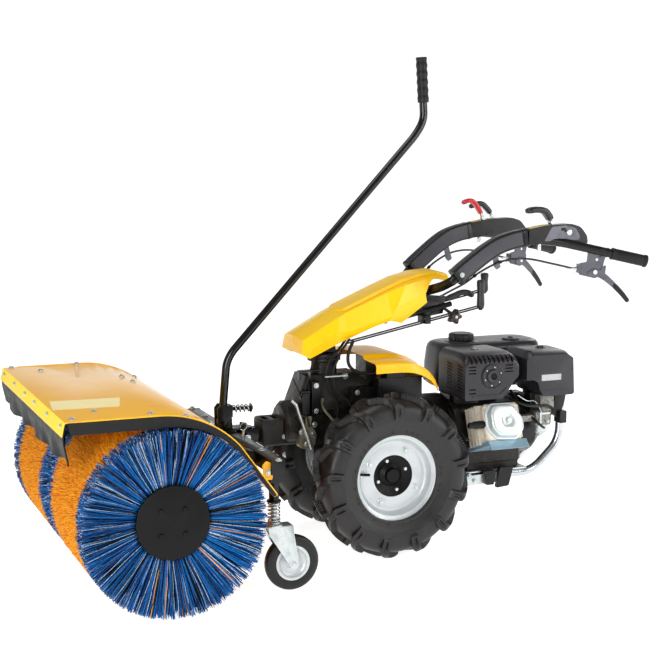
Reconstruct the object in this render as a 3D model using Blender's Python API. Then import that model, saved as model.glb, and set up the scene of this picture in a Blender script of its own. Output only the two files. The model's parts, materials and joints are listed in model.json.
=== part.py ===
"""Two-wheel tractor with a petrol engine and a front rotary brush.

Metres, +Z up, the ground at z = 0. The brush points to -X, the handles to +X,
and the machine's left side is -Y. Sizes below are measured from the wheel
axle (x), from the tractor's middle plane (y) and from the ground (z); the
finished pieces are then set so that the whole machine is centred on the origin.
"""

import math

import bmesh
import bpy
import numpy as np
from mathutils import Matrix, Vector

# Where the wheel axle and the tractor's middle plane stand in the finished part
AXLE_X = 0.099
TRACTOR_Y = 0.030

# Clearance between pieces that touch, and between turning pieces
FIT = 0.0003
RUNNING = 0.0006

# Wheels
TYRE_RADIUS = 0.252
TYRE_WIDTH = 0.130
WHEEL_MIDDLE = 0.211
TREAD_HEIGHT = 0.018
LUGS_PER_SIDE = 10
LUG_SLANT = 0.42
WHEEL_STEPS = 16
BEAD_RADIUS = 0.1285
FLANGE_RADIUS = 0.143
RIM_HALF_WIDTH = 0.0445
RIM_HOLE_RADIUS = 0.064
HUB_RADIUS = 0.090
AXLE_TUBE_RADIUS = 0.047
AXLE_TUBE_END = 0.139

# Brush unit
BRUSH_AHEAD = 0.766
BRUSH_OFFSET = -0.030
BRISTLE_RADIUS = 0.256
BRUSH_HALF_WIDTH = 0.468
CORE_RADIUS = 0.045
END_DISC_RADIUS = 0.103
END_DISC_THICKNESS = 0.006
WAFER_RADIUS = 0.098
END_BAND = 0.046
INNER_BAND = 0.045
GEARCASE_HALF = 0.030
GEARCASE_RADIUS = 0.062
OUTPUT_SHAFT_RADIUS = 0.020
SPLAY = 0.074
ROLL_STEPS = 16
PACKED_RADIUS = 0.222
PACKED_WALL = 0.014

# Hood
HOOD_HALF_WIDTH = 0.470
HOOD_TOP = 0.548
HOOD_FRONT = -1.049
HOOD_FLAT_END = -0.800
HOOD_BEND_RADIUS = 0.300
HOOD_BEND_ANGLE = math.radians(48)
HOOD_REAR_SLOPE = math.radians(54)
HOOD_REAR_LENGTH = 0.180
HOOD_SHEET = 0.0025
LIP_DROP = 0.038
LIP_LEAN = 0.009
FLAP_THICKNESS = 0.004
FLAP_BOTTOM = 0.437
FLANGE_DEPTH = 0.026

# Brush frame and its casters
CROSS_X = -0.448
CROSS_SIDE = 0.040
CROSS_BOTTOM = 0.345
SWIVEL_X = -0.402
SWIVEL_PIN_RADIUS = 0.010
HITCH_SIDE = 0.043
HITCH_BOTTOM = 0.345
HITCH_REAR = -0.268
PLATE = 0.006
CASTER_REACH = 0.370
CASTER_TUBE_RADIUS = 0.0145
CASTER_TUBE_BOTTOM = 0.259
CASTER_STEM_RADIUS = 0.009
CASTER_TRAVEL = 0.030
CASTER_TRAIL = 0.052
CASTER_RADIUS = 0.080
CASTER_WIDTH = 0.030
FORK_TOP = 0.198
FORK_PLATE = 0.004
SPRING_WIRE = 0.0022
SPRING_COIL = 0.0165
CASTER_SPRING_TURNS = 4

# Angling lever
LEVER_RADIUS = 0.0125
LEVER_GRIP_RADIUS = 0.0175
LEVER_PIN = (-0.468, 0.414)
LEVER_KNEE = (0.203, 1.322)
LEVER_TOP = (0.1920, 1.512)
LEVER_SPRING_TURNS = 4

# Gearbox
CRANK_Z = 0.330
CRANK_Y = 0.020
COLUMN_X = -0.135
COLUMN_RADIUS = 0.040
COLUMN_TOP = 0.592

# Engine
CASE_FRONT = 0.280
CASE_REAR = 0.530
CASE_TOP = 0.420
CASE_BOTTOM = 0.215
BELL_RADIUS = 0.118
BELL_REAR = CASE_FRONT - FIT
GUARD_BOTTOM = 0.456
TANK_BOTTOM = 0.452
TANK_TOP = 0.603
CLEANER_BOTTOM = 0.448
RECOIL_REAR = 0.620
RECOIL_RADIUS = 0.100
BUMPER_RADIUS = 0.0135
BUMPER_Y = 0.065
BUMPER_START = 0.472

# Handlebars
TILT_X = -0.135
TILT_Z = 0.662
TURRET_RADIUS = 0.052
YOKE_TUBE_RADIUS = 0.0155
HANDLE_TUBE_RADIUS = 0.0145
GRIP_RADIUS = 0.0185
KNEE = (0.470, 0.187, 0.9605)
ARM_END = KNEE[0] - 0.004
ARM_LINE = (
    (0.2355, -0.1620, 0.8385),
    (0.262, -0.1640, 0.8640),
    (0.300, -0.1680, 0.8930),
    (0.336, -0.1730, 0.9170),
    (0.376, -0.1780, 0.9370),
    (0.420, -0.1830, 0.9530),
    (KNEE[0] + 0.008, -KNEE[1], KNEE[2] + 0.002),
)
GRIP_START = (0.580, 0.200, 0.944)
GRIP_END = (0.850, 0.282, 0.880)
GRIP_LENGTH = 0.118

OFFSET = Vector((AXLE_X, TRACTOR_Y, 0.0))
BRUSH_AXIS = Vector((-BRUSH_AHEAD, BRUSH_OFFSET, BRISTLE_RADIUS))

COLOURS = {
    "yellow": ((0.90, 0.50, 0.0), 0.25, 0.0),
    "orange_bristle": ((0.85, 0.30, 0.01), 0.6, 0.0),
    "blue_bristle": ((0.015, 0.11, 0.45), 0.5, 0.0),
    "black_steel": ((0.012, 0.012, 0.012), 0.35, 0.0),
    "cast_iron": ((0.02, 0.018, 0.016), 0.55, 0.3),
    "dark_plastic": ((0.05, 0.05, 0.055), 0.45, 0.0),
    "grey_plate": ((0.12, 0.12, 0.13), 0.4, 0.5),
    "rubber": ((0.015, 0.014, 0.013), 0.75, 0.0),
    "silver": ((0.55, 0.58, 0.60), 0.3, 0.9),
    "zinc": ((0.62, 0.64, 0.65), 0.25, 1.0),
    "aluminium": ((0.45, 0.42, 0.36), 0.5, 0.8),
    "red": ((0.65, 0.01, 0.02), 0.35, 0.0),
}


def clear_scene():
    for obj in list(bpy.data.objects):
        bpy.data.objects.remove(obj)


def material(name):
    """The named material, made the first time it is asked for."""
    found = bpy.data.materials.get(name)
    if found:
        return found
    colour, roughness, metallic = COLOURS[name]
    made = bpy.data.materials.new(name)
    made.use_nodes = True
    shader = made.node_tree.nodes["Principled BSDF"]
    shader.inputs["Base Color"].default_value = (*colour, 1.0)
    shader.inputs["Roughness"].default_value = roughness
    shader.inputs["Metallic"].default_value = metallic
    return made


def solid(bm):
    """A linked object from the bmesh, with its faces pointing out."""
    bmesh.ops.remove_doubles(bm, verts=bm.verts, dist=1e-7)
    bmesh.ops.recalc_face_normals(bm, faces=bm.faces)
    mesh = bpy.data.meshes.new("shape")
    bm.to_mesh(mesh)
    bm.free()
    obj = bpy.data.objects.new("shape", mesh)
    bpy.context.scene.collection.objects.link(obj)
    return obj


def block(low, high, rounding=0.0, segments=1):
    """A box between two corners, with its edges bevelled."""
    low, high = Vector(low), Vector(high)
    bm = bmesh.new()
    size = Matrix.Diagonal((*(high - low), 1.0))
    bmesh.ops.create_cube(bm, size=1.0, matrix=Matrix.Translation((low + high) / 2) @ size)
    if rounding:
        bmesh.ops.bevel(bm, geom=bm.edges[:], offset=rounding, segments=segments, affect="EDGES", profile=0.5)
    return solid(bm)


AXES = {
    "X": Matrix(((0, 0, 1), (1, 0, 0), (0, 1, 0))).to_4x4(),
    "Y": Matrix(((1, 0, 0), (0, 0, 1), (0, 1, 0))).to_4x4(),
    "Z": Matrix.Identity(4),
}


def turned(profile, centre, axis="Z", steps=16, phase=0.0):
    """A profile of (radius, height) points spun about an axis through the centre.

    A profile whose ends lie on the axis makes a full body, any other a ring."""
    bm = bmesh.new()
    start = Matrix.Rotation(math.radians(phase), 3, "Z")
    verts = [bm.verts.new(start @ Vector((radius, 0.0, height))) for radius, height in profile]
    edges = [bm.edges.new(pair) for pair in zip(verts, verts[1:])]
    if profile[0][0] > 0.0 or profile[-1][0] > 0.0:
        edges.append(bm.edges.new((verts[-1], verts[0])))
    bmesh.ops.spin(
        bm, geom=verts + edges, cent=(0, 0, 0), axis=(0, 0, 1), angle=math.tau, steps=steps, use_merge=True
    )
    bmesh.ops.remove_doubles(bm, verts=bm.verts, dist=1e-6)
    bm.transform(Matrix.Translation(centre) @ AXES[axis])
    return solid(bm)


def rod(radius, start, end, steps=12):
    """A round bar between two points."""
    return swept([start, end], circle(radius, steps))


def prism(outline, low, high, axis="Y"):
    """A flat outline pushed along an axis: (x, z) along Y, (y, z) along X, (x, y) along Z."""
    bm = bmesh.new()
    spots = {"Y": lambda a, b, c: (a, c, b), "X": lambda a, b, c: (c, a, b), "Z": lambda a, b, c: (a, b, c)}[axis]
    first = [bm.verts.new(spots(a, b, low)) for a, b in outline]
    last = [bm.verts.new(spots(a, b, high)) for a, b in outline]
    bm.faces.new(first)
    bm.faces.new(last)
    for i in range(len(outline)):
        j = (i + 1) % len(outline)
        bm.faces.new((first[i], first[j], last[j], last[i]))
    return solid(bm)


def lofted(sections):
    """Sections of as many points each, bridged in order and closed at both ends."""
    bm = bmesh.new()
    rings = [[bm.verts.new(point) for point in section] for section in sections]
    for one, two in zip(rings, rings[1:]):
        for i in range(len(one)):
            j = (i + 1) % len(one)
            bm.faces.new((one[i], one[j], two[j], two[i]))
    bm.faces.new(rings[0])
    bm.faces.new(rings[-1])
    return solid(bm)


def circle(radius, steps=12):
    return [
        (radius * math.cos(math.tau * i / steps), radius * math.sin(math.tau * i / steps)) for i in range(steps)
    ]


def rounded(width, height, corner, steps=3):
    """A rectangle's outline with round corners, about the middle."""
    points = []
    for quarter, (side, top) in enumerate(((1, 1), (-1, 1), (-1, -1), (1, -1))):
        for i in range(steps):
            angle = math.pi / 2 * (quarter + i / (steps - 1))
            x = side * (width / 2 - corner) + corner * math.cos(angle)
            y = top * (height / 2 - corner) + corner * math.sin(angle)
            points.append((x, y))
    return points


def frames(points):
    """Sideways and upward directions along a path, carried from point to point without a twist."""
    points = [Vector(point) for point in points]
    tangents = []
    for i in range(len(points)):
        before = points[max(i - 1, 0)]
        after = points[min(i + 1, len(points) - 1)]
        tangents.append((after - before).normalized())
    up = Vector((0, 0, 1)) if abs(tangents[0].z) < 0.9 else Vector((1, 0, 0))
    result = []
    for tangent in tangents:
        up = (up - tangent * up.dot(tangent)).normalized()
        result.append((up.cross(tangent).normalized(), up.copy()))
    return points, result


def swept(path, outline, scale=None):
    """An outline carried along a path; scale gives (width, height) factors at each point."""
    points, directions = frames(path)
    sections = []
    for i, (point, (side, up)) in enumerate(zip(points, directions)):
        wide, high = scale[i] if scale else (1.0, 1.0)
        sections.append([point + side * (a * wide) + up * (b * high) for a, b in outline])
    return lofted(sections)


def bent(corners, radius, steps=4):
    """A path through the corners with each inner corner rounded by an arc."""
    corners = [Vector(corner) for corner in corners]
    path = [corners[0]]
    for before, corner, after in zip(corners, corners[1:], corners[2:]):
        arriving = (corner - before).normalized()
        leaving = (after - corner).normalized()
        turn = arriving.angle(leaving)
        if turn < 1e-3:
            path.append(corner)
            continue
        cut = radius * math.tan(turn / 2)
        middle = corner + (leaving - arriving).normalized() * (radius / math.cos(turn / 2))
        begin = corner - arriving * cut - middle
        axis = arriving.cross(leaving).normalized()
        for i in range(steps + 1):
            path.append(middle + Matrix.Rotation(turn * i / steps, 3, axis) @ begin)
    path.append(corners[-1])
    return path


def smooth(corners, steps=4):
    """A smooth curve through the corners."""
    corners = [Vector(corner) for corner in corners]
    ends = [corners[0] * 2 - corners[1]] + corners + [corners[-1] * 2 - corners[-2]]
    path = []
    for a, b, c, d in zip(ends, ends[1:], ends[2:], ends[3:]):
        for i in range(steps):
            t = i / steps
            path.append(0.5 * (2 * b + (c - a) * t + (2 * a - 5 * b + 4 * c - d) * t**2 + (3 * b - a - 3 * c + d) * t**3))
    path.append(corners[-1])
    return path


def combined(operation, body, others):
    """The body with the other shapes joined to it or cut from it."""
    for other in others:
        step = body.modifiers.new(operation.lower(), "BOOLEAN")
        step.operation = operation
        step.object = other
        step.solver = "EXACT"
    graph = bpy.context.evaluated_depsgraph_get()
    graph.update()
    mesh = bpy.data.meshes.new_from_object(body.evaluated_get(graph))
    body.modifiers.clear()
    body.data = mesh
    for other in others:
        bpy.data.objects.remove(other)
    return body


def fused(body, *others):
    return combined("UNION", body, others)


def cut(body, *others):
    return combined("DIFFERENCE", body, others)


def shifted(obj, by):
    obj.data.transform(Matrix.Translation(by))
    return obj


def spun(obj, degrees, axis, about):
    about = Vector(about)
    turn = Matrix.Rotation(math.radians(degrees), 4, axis)
    obj.data.transform(Matrix.Translation(about) @ turn @ Matrix.Translation(-about))
    return obj


def mirrored(obj, about=0.0):
    """A copy of the shape on the other side of the plane y = about."""
    mesh = obj.data.copy()
    mesh.transform(Matrix.Translation((0, 2 * about, 0)) @ Matrix.Diagonal((1, -1, 1, 1)))
    mesh.flip_normals()
    twin = bpy.data.objects.new("shape", mesh)
    bpy.context.scene.collection.objects.link(twin)
    return twin


def carrier(name, place, parent=None):
    """An empty on a joint's axis, which the pieces that move there hang on."""
    empty = bpy.data.objects.new(name, None)
    bpy.context.scene.collection.objects.link(empty)
    empty.parent = parent
    spot = Vector(place) + OFFSET
    if parent:
        spot -= parent.matrix_world.translation
    empty.location = spot
    bpy.context.view_layer.update()
    return empty


def node(name, obj, look, parent, smooth_below=35):
    """Names the shape, colours it and hangs it on its carrier."""
    obj.name = name
    obj.data.name = name
    obj.data.materials.clear()
    obj.data.materials.append(material(look))
    obj.data.transform(Matrix.Translation(OFFSET - parent.matrix_world.translation))
    obj.data.shade_smooth()
    obj.data.set_sharp_from_angle(angle=math.radians(smooth_below))
    obj.parent = parent
    return obj


def both_sides(name, obj, look, left, right, about=0.0):
    """The shape as it stands on the left, and its mirror image on the right."""
    twin = mirrored(obj, about)
    node(f"{name}_left", obj, look, left)
    node(f"{name}_right", twin, look, right)


# Wheels


def tyre():
    """Carcass whose columns slant towards the shoulders, with every fourth one raised as a lug."""
    crown = TYRE_RADIUS - TREAD_HEIGHT
    half = TYRE_WIDTH / 2
    seat = BEAD_RADIUS + 2 * FIT
    outer = [
        (crown, 0.0),
        (crown - 0.002, half * 0.55),
        (crown - 0.018, half - 0.004),
        (0.185, half),
        (FLANGE_RADIUS + 0.003, RIM_HALF_WIDTH - 0.0010),
        (seat, RIM_HALF_WIDTH - 0.0080),
    ]
    profile = outer + [(radius, -along) for radius, along in reversed(outer[1:])]
    columns = 4 * LUGS_PER_SIDE
    bm = bmesh.new()
    rings = []
    for radius, along in profile:
        slant = LUG_SLANT * min(abs(along), half * 0.9) / half
        ring = []
        for n in range(columns):
            angle = math.tau * n / columns + slant
            ring.append(bm.verts.new((radius * math.sin(angle), along, radius * math.cos(angle))))
        rings.append(ring)
    faces = {}
    for i, ring in enumerate(rings):
        after = rings[(i + 1) % len(rings)]
        for n in range(columns):
            m = (n + 1) % columns
            faces[i, n] = bm.faces.new((ring[n], ring[m], after[m], after[n]))
    rows = {1: (0, 1), -1: (len(rings) - 1, len(rings) - 2)}
    for side, start in ((1, 0), (-1, 2)):
        for n in range(start, columns, 4):
            raise_lug(bm, [faces[row, n] for row in rows[side]])
    bm.transform(Matrix.Translation((0, -WHEEL_MIDDLE, CENTRE_Z)))
    return solid(bm)


def raise_lug(bm, patch):
    """Pushes a patch of the tread out to the tyre's full radius, and narrows its top."""
    made = bmesh.ops.extrude_face_region(bm, geom=patch)["geom"]
    tops = [item for item in made if isinstance(item, bmesh.types.BMVert)]
    bmesh.ops.delete(bm, geom=patch, context="FACES_ONLY")
    half = TYRE_WIDTH / 2
    for vert in tops:
        radius = math.hypot(vert.co.x, vert.co.z)
        share = abs(vert.co.y) / half
        target = TYRE_RADIUS - 0.002 * share - 0.014 * max(share - 0.6, 0.0)
        vert.co.x *= target / radius
        vert.co.z *= target / radius
        if share > 0.7:
            vert.co.y = math.copysign(half, vert.co.y)


def rim():
    """Dished disc in a drop-centre rim, with its hub and axle nut, on the left wheel."""
    edge = RIM_HALF_WIDTH
    profile = [
        (RIM_HOLE_RADIUS, 0.014),
        (0.100, 0.014),
        (0.123, edge - 0.0075),
        (FLANGE_RADIUS, edge),
        (BEAD_RADIUS, edge - 0.007),
        (BEAD_RADIUS, 0.022),
        (0.117, 0.0),
        (BEAD_RADIUS, -0.022),
        (BEAD_RADIUS, 0.007 - edge),
        (FLANGE_RADIUS, -edge),
        (0.123, 0.0075 - edge),
        (0.105, 0.007),
        (RIM_HOLE_RADIUS, 0.008),
    ]
    centre = (0, -WHEEL_MIDDLE, CENTRE_Z)
    flipped = [(radius, -along) for radius, along in profile]
    dish = turned(flipped, centre, "Y", WHEEL_STEPS)
    inner = WHEEL_MIDDLE - AXLE_TUBE_END - FIT
    hub = turned(
        [
            (0.0, -0.016),
            (0.020, -0.016),
            (0.036, 0.004),
            (0.072, -0.011),
            (0.082, -0.011),
            (0.082, 0.002),
            (0.040, inner),
            (0.0, inner),
        ],
        centre,
        "Y",
        12,
        phase=7,
    )
    bolts = []
    for n in range(4):
        angle = math.radians(62 + 90 * n)
        x = 0.0865 * math.cos(angle)
        z = CENTRE_Z + 0.0865 * math.sin(angle)
        bolts.append(rod(0.009, (x, -WHEEL_MIDDLE - 0.022, z), (x, -WHEEL_MIDDLE - 0.012, z), 6))
    return fused(dish, hub, *bolts)


def build_wheels(root):
    left = carrier("axle_left", (0, -WHEEL_MIDDLE, CENTRE_Z), root)
    right = carrier("axle_right", (0, WHEEL_MIDDLE, CENTRE_Z), root)
    both_sides("tyre", tyre(), "rubber", left, right)
    both_sides("rim", rim(), "silver", left, right)


# Gearbox and fender


def gearbox():
    """Cast case: differential, axle tubes, gear tower, steering column, hitch socket and clutch bell."""
    body = block((-0.115, -0.060, 0.165), (0.125, 0.060, 0.400), 0.020)
    tubes = turned(
        [
            (0.0, -AXLE_TUBE_END),
            (0.064, -AXLE_TUBE_END),
            (0.062, -AXLE_TUBE_END + 0.018),
            (AXLE_TUBE_RADIUS, -AXLE_TUBE_END + 0.026),
            (AXLE_TUBE_RADIUS, AXLE_TUBE_END - 0.026),
            (0.062, AXLE_TUBE_END - 0.018),
            (0.064, AXLE_TUBE_END),
            (0.0, AXLE_TUBE_END),
        ],
        (0, 0, CENTRE_Z),
        "Y",
        12,
        phase=5,
    )
    tower = lofted(
        [
            [Vector((x, y, 0.330)) for x, y in ((-0.235, -0.062), (0.060, -0.062), (0.060, 0.062), (-0.235, 0.062))],
            [Vector((x, y, 0.455)) for x, y in ((-0.245, -0.058), (0.040, -0.058), (0.040, 0.058), (-0.245, 0.058))],
            [Vector((x, y, 0.545)) for x, y in ((-0.215, -0.046), (-0.040, -0.046), (-0.040, 0.046), (-0.215, 0.046))],
        ]
    )
    snout = turned(
        [(0.0, -0.285), (0.058, -0.285), (0.070, -0.272), (0.070, -0.180), (0.0, -0.180)], (0, 0, 0.395), "X", 12, phase=8
    )
    socket_top = HITCH_BOTTOM + HITCH_SIDE
    socket = block(
        (HITCH_REAR - 0.086, -HITCH_SIDE / 2 - 0.020, HITCH_BOTTOM - 0.012),
        (-0.230, HITCH_SIDE / 2 + 0.020, socket_top + 0.028),
        0.006,
    )
    half = HITCH_SIDE / 2 + FIT
    bore = block(
        (HITCH_REAR - 0.120, -half, HITCH_BOTTOM - FIT), (HITCH_REAR + FIT, half, socket_top + FIT)
    )
    slots = [
        block((x, -0.030, socket_top + 0.020), (x + 0.018, 0.020, socket_top + 0.040)) for x in (-0.345, -0.312)
    ]
    column = turned(
        [
            (0.0, 0.480),
            (COLUMN_RADIUS + 0.010, 0.480),
            (COLUMN_RADIUS, 0.520),
            (COLUMN_RADIUS, COLUMN_TOP - 0.012),
            (TURRET_RADIUS, COLUMN_TOP - 0.008),
            (TURRET_RADIUS, COLUMN_TOP),
            (0.0, COLUMN_TOP),
        ],
        (COLUMN_X, 0, 0),
        "Z",
        12,
        phase=3,
    )
    bell = turned(
        [
            (0.0, 0.060),
            (0.072, 0.060),
            (0.080, 0.130),
            (BELL_RADIUS - 0.012, 0.215),
            (BELL_RADIUS, 0.222),
            (BELL_RADIUS, BELL_REAR),
            (0.0, BELL_REAR),
        ],
        (0, CRANK_Y, CRANK_Z),
        "X",
        16,
        phase=6,
    )
    saddle = block((-0.010, -0.040, 0.390), (0.028, 0.040, FENDER_TOP - FENDER_SHEET - FIT))
    body = fused(body, tubes, tower, snout, socket, column, bell, saddle)
    return cut(body, bore, *slots)


FENDER_TOP = 0.607
FENDER_SHEET = 0.003
FENDER_HALF = 0.200


def fender():
    """Yellow cover over the case: a raised middle, a side wing over each tyre and a rolled rear."""
    stations = (
        (-0.045, 0.0, 1.0),
        (0.030, 0.0, 1.0),
        (0.070, -0.004, 1.0),
        (0.110, -0.018, 0.95),
        (0.145, -0.042, 0.88),
        (0.172, -0.072, 0.80),
        (0.190, -0.104, 0.72),
    )
    sheet = FENDER_SHEET
    sections = []
    for x, drop, spread in stations:
        half = FENDER_HALF * spread
        top = FENDER_TOP + drop
        outer = [
            (-half, top - 0.044),
            (-half, top - 0.020),
            (-half + 0.012, top - 0.012),
            (-0.112 * spread, top - 0.010),
            (-0.094 * spread, top),
            (0.094 * spread, top),
            (0.112 * spread, top - 0.010),
            (half - 0.012, top - 0.012),
            (half, top - 0.020),
            (half, top - 0.044),
        ]
        inner = [
            (y - math.copysign(sheet, y), z if i in (0, 9) else z - sheet) for i, (y, z) in enumerate(outer)
        ]
        sections.append([Vector((x, y, z)) for y, z in outer + inner[::-1]])
    return lofted(sections)


# Engine


def crankcase():
    """Engine block with its drive flange, its base feet and the posts that carry tank and guard."""
    body = block((CASE_FRONT, -0.080, CASE_BOTTOM), (CASE_REAR, 0.130, CASE_TOP), 0.014)
    flange = turned(
        [(0.0, CASE_FRONT), (0.095, CASE_FRONT), (0.095, CASE_FRONT + 0.020), (0.0, CASE_FRONT + 0.020)],
        (0, CRANK_Y, CRANK_Z),
        "X",
        16,
        phase=6,
    )
    posts = [
        block((0.320, 0.030, CASE_TOP - 0.020), (0.500, 0.100, TANK_BOTTOM - FIT)),
        block((0.310, -0.055, CASE_TOP - 0.020), (0.380, -0.020, GUARD_BOTTOM - FIT)),
    ]
    x, y, z = HEAD_ROOT
    seat = block((x - 0.078, y - 0.200, z - 0.100), (x + 0.078, y - HEAD_GAP + FIT, z + 0.070))
    feet = block((0.330, -0.075, CASE_BOTTOM - 0.012), (0.520, 0.125, CASE_BOTTOM + 0.020), 0.004)
    return cut(fused(body, flange, feet, *posts), spun(seat, -HEAD_TILT, "X", HEAD_ROOT))


HEAD_TILT = 20.0
HEAD_ROOT = (0.387, -0.075, 0.338)
HEAD_OUT = 0.145
HEAD_GAP = 0.006
FIN_COUNT = 4


def cylinder_head():
    """Finned cylinder and head leaning out to the left, over its pressed air guide."""
    x, y, z = HEAD_ROOT
    start = y - HEAD_GAP
    core = block((x - 0.054, y - HEAD_OUT, z - 0.050), (x + 0.054, start, z + 0.050), 0.008)
    fins = []
    for n in range(FIN_COUNT):
        place = start - 0.024 - 0.021 * n
        fins.append(block((x - 0.070, place - 0.002, z - 0.062), (x + 0.066, place + 0.002, z + 0.062)))
    head = block((x - 0.064, y - HEAD_OUT, z - 0.060), (x + 0.064, y - HEAD_OUT + 0.030, z + 0.060), 0.010)
    guide = prism(
        [
            (start, z - 0.070),
            (y - HEAD_OUT + 0.004, z - 0.070),
            (y - HEAD_OUT - 0.010, z - 0.086),
            (y - HEAD_OUT - 0.013, z - 0.086),
            (y - HEAD_OUT + 0.002, z - 0.058),
            (start, z - 0.058),
        ],
        x - 0.060,
        x + 0.066,
        "X",
    )
    plug = turned(
        [(0.0, -0.115), (0.008, -0.115), (0.008, -0.100), (0.011, -0.096), (0.011, -0.050), (0.0, -0.050)],
        (x, y - HEAD_OUT + 0.018, z - 0.002),
        "X",
        8,
    )
    body = fused(core, head, guide, plug, *fins)
    return spun(body, -HEAD_TILT, "X", HEAD_ROOT)


def valve_cover():
    """Pressed six-sided cover with a flat rim and a raised face."""
    x, y, z = HEAD_ROOT
    outline = ((-0.066, 0.034), (-0.044, 0.060), (0.030, 0.058), (0.066, 0.006))
    outline += ((0.066, -0.026), (0.036, -0.060), (-0.040, -0.054), (-0.066, -0.022))
    seat = y - HEAD_OUT - FIT
    steps = ((0.0, 1.0), (0.004, 1.0), (0.0045, 0.92), (0.020, 0.80), (0.026, 0.72))
    sections = [[Vector((x + u * size, seat - out, z + v * size)) for u, v in outline] for out, size in steps]
    body = lofted(sections)
    nut = rod(0.008, (x + 0.006, seat - 0.034, z), (x + 0.006, seat - 0.020, z), 6)
    return spun(fused(body, nut), -HEAD_TILT, "X", HEAD_ROOT)


def muffler_guard():
    """Pressed guard round the muffler, with its slots and the round spark-arrester outlet."""
    outline = [
        (0.262, GUARD_BOTTOM),
        (0.396, GUARD_BOTTOM),
        (0.438, 0.512),
        (0.452, 0.524),
        (0.452, 0.572),
        (0.440, 0.588),
        (0.276, 0.588),
        (0.262, 0.574),
    ]
    front = -0.187
    body = prism(outline, front, -0.004, "Y")
    top = prism([(-0.186, 0.560), (-0.004, 0.560), (-0.004, 0.600), (-0.120, 0.600), (-0.160, 0.592)], 0.270, 0.446, "X")
    body = fused(body, top)
    slots = []
    for n in range(6):
        x = 0.292 + 0.024 * n
        slots.append(block((x, -0.190, 0.571), (x + 0.010, -0.165, 0.581)))
    for n in range(2):
        z = 0.550 - 0.012 * n
        slots.append(block((0.272, -0.200, z), (0.308, front + 0.004, z + 0.005)))
        slots.append(block((0.404, -0.200, z), (0.436, front + 0.004, z + 0.005)))
    for n in range(2):
        y = -0.150 + 0.070 * n
        slots.append(block((0.250, y, 0.500), (0.270, y + 0.020, 0.560)))
    slots.append(rod(0.030, (0.358, front - 0.02, 0.529), (0.358, front + 0.02, 0.529), 8))
    hollow = prism(
        [
            (0.266, GUARD_BOTTOM + 0.004),
            (0.394, GUARD_BOTTOM + 0.004),
            (0.434, 0.514),
            (0.448, 0.526),
            (0.448, 0.570),
            (0.438, 0.584),
            (0.279, 0.584),
            (0.266, 0.572),
        ],
        front + 0.0025,
        0.010,
        "Y",
    )
    body = cut(body, hollow, *slots)
    ring = turned(
        [
            (0.0, 0.010),
            (0.017, 0.010),
            (0.017, -0.006),
            (0.023, -0.010),
            (0.026, -0.004),
            (0.037, -0.004),
            (0.038, 0.0),
            (0.038, 0.012),
            (0.0, 0.012),
        ],
        (0.358, front, 0.529),
        "Y",
        16,
    )
    return fused(body, ring)


def air_cleaner():
    """Box with a stepped lower edge and a domed top."""
    outline = [
        (0.492, 0.500),
        (0.492, 0.580),
        (0.508, 0.596),
        (0.640, 0.592),
        (0.664, 0.570),
        (0.668, CLEANER_BOTTOM + 0.004),
        (0.660, CLEANER_BOTTOM),
        (0.556, CLEANER_BOTTOM),
        (0.540, 0.468),
        (0.530, 0.494),
        (0.520, 0.500),
    ]
    stations = ((-0.168, 0.93), (-0.160, 1.0), (-0.020, 1.0), (-0.004, 0.96))
    middle = Vector((0.585, 0, 0.525))
    sections = []
    for y, size in stations:
        sections.append([Vector((middle.x + (x - middle.x) * size, y, middle.z + (z - middle.z) * size)) for x, z in outline])
    return lofted(sections)


def carburettor():
    """Cast body with its float bowl, air horn and intake pipe to the cylinder head."""
    x, y = 0.575, -0.115
    bowl = turned(
        [(0.0, 0.312), (0.006, 0.312), (0.008, 0.318), (0.018, 0.322), (0.022, 0.330), (0.022, 0.350), (0.0, 0.350)],
        (x, y, 0),
        "Z",
        12,
    )
    body = block((x - 0.030, y - 0.026, 0.347), (x + 0.028, y + 0.026, 0.396), 0.005)
    horn = block((x - 0.012, y - 0.022, 0.390), (x + 0.040, y + 0.022, CLEANER_BOTTOM - FIT - 0.0003), 0.004)
    lean = math.radians(HEAD_TILT)
    reach = HEAD_ROOT[0] + 0.066 + FIT
    pipe = rod(0.013, (reach + 0.004, y - 0.010, 0.372), (x - 0.020, y, 0.372), 8)
    flange = block((reach, y - 0.032, 0.350), (reach + 0.008, y + 0.012, 0.396), 0.002)
    spun(flange, -math.degrees(lean) * 0.5, "X", (reach, y - 0.010, 0.372))
    return fused(body, bowl, horn, pipe, flange)


def fuel_tank():
    """Rounded tank with a recess round its filler neck."""
    body = block((0.252, 0.004, TANK_BOTTOM), (0.664, 0.206, TANK_TOP), 0.020)
    recess = turned(
        [(0.0, TANK_TOP - 0.006), (0.052, TANK_TOP - 0.006), (0.058, TANK_TOP + 0.01), (0.0, TANK_TOP + 0.01)],
        (CAP_X, CAP_Y, 0),
        "Z",
        14,
    )
    neck = rod(0.030, (CAP_X, CAP_Y, TANK_TOP - 0.020), (CAP_X, CAP_Y, TANK_TOP + 0.002), 12)
    return fused(cut(body, recess), neck)


CAP_X = 0.392
CAP_Y = 0.092


def fuel_cap():
    """Ribbed cap over the neck."""
    base = TANK_TOP + 0.002 + FIT
    sides = 10
    outline = []
    for n in range(2 * sides):
        radius = 0.042 if n % 2 else 0.0395
        angle = math.tau * n / (2 * sides)
        outline.append((radius * math.cos(angle), radius * math.sin(angle)))
    sections = []
    for up, size in ((0.0, 1.0), (0.018, 1.0), (0.023, 0.90), (0.025, 0.70)):
        sections.append([Vector((CAP_X + x * size, CAP_Y + y * size, base + up)) for x, y in outline])
    return lofted(sections)


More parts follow.
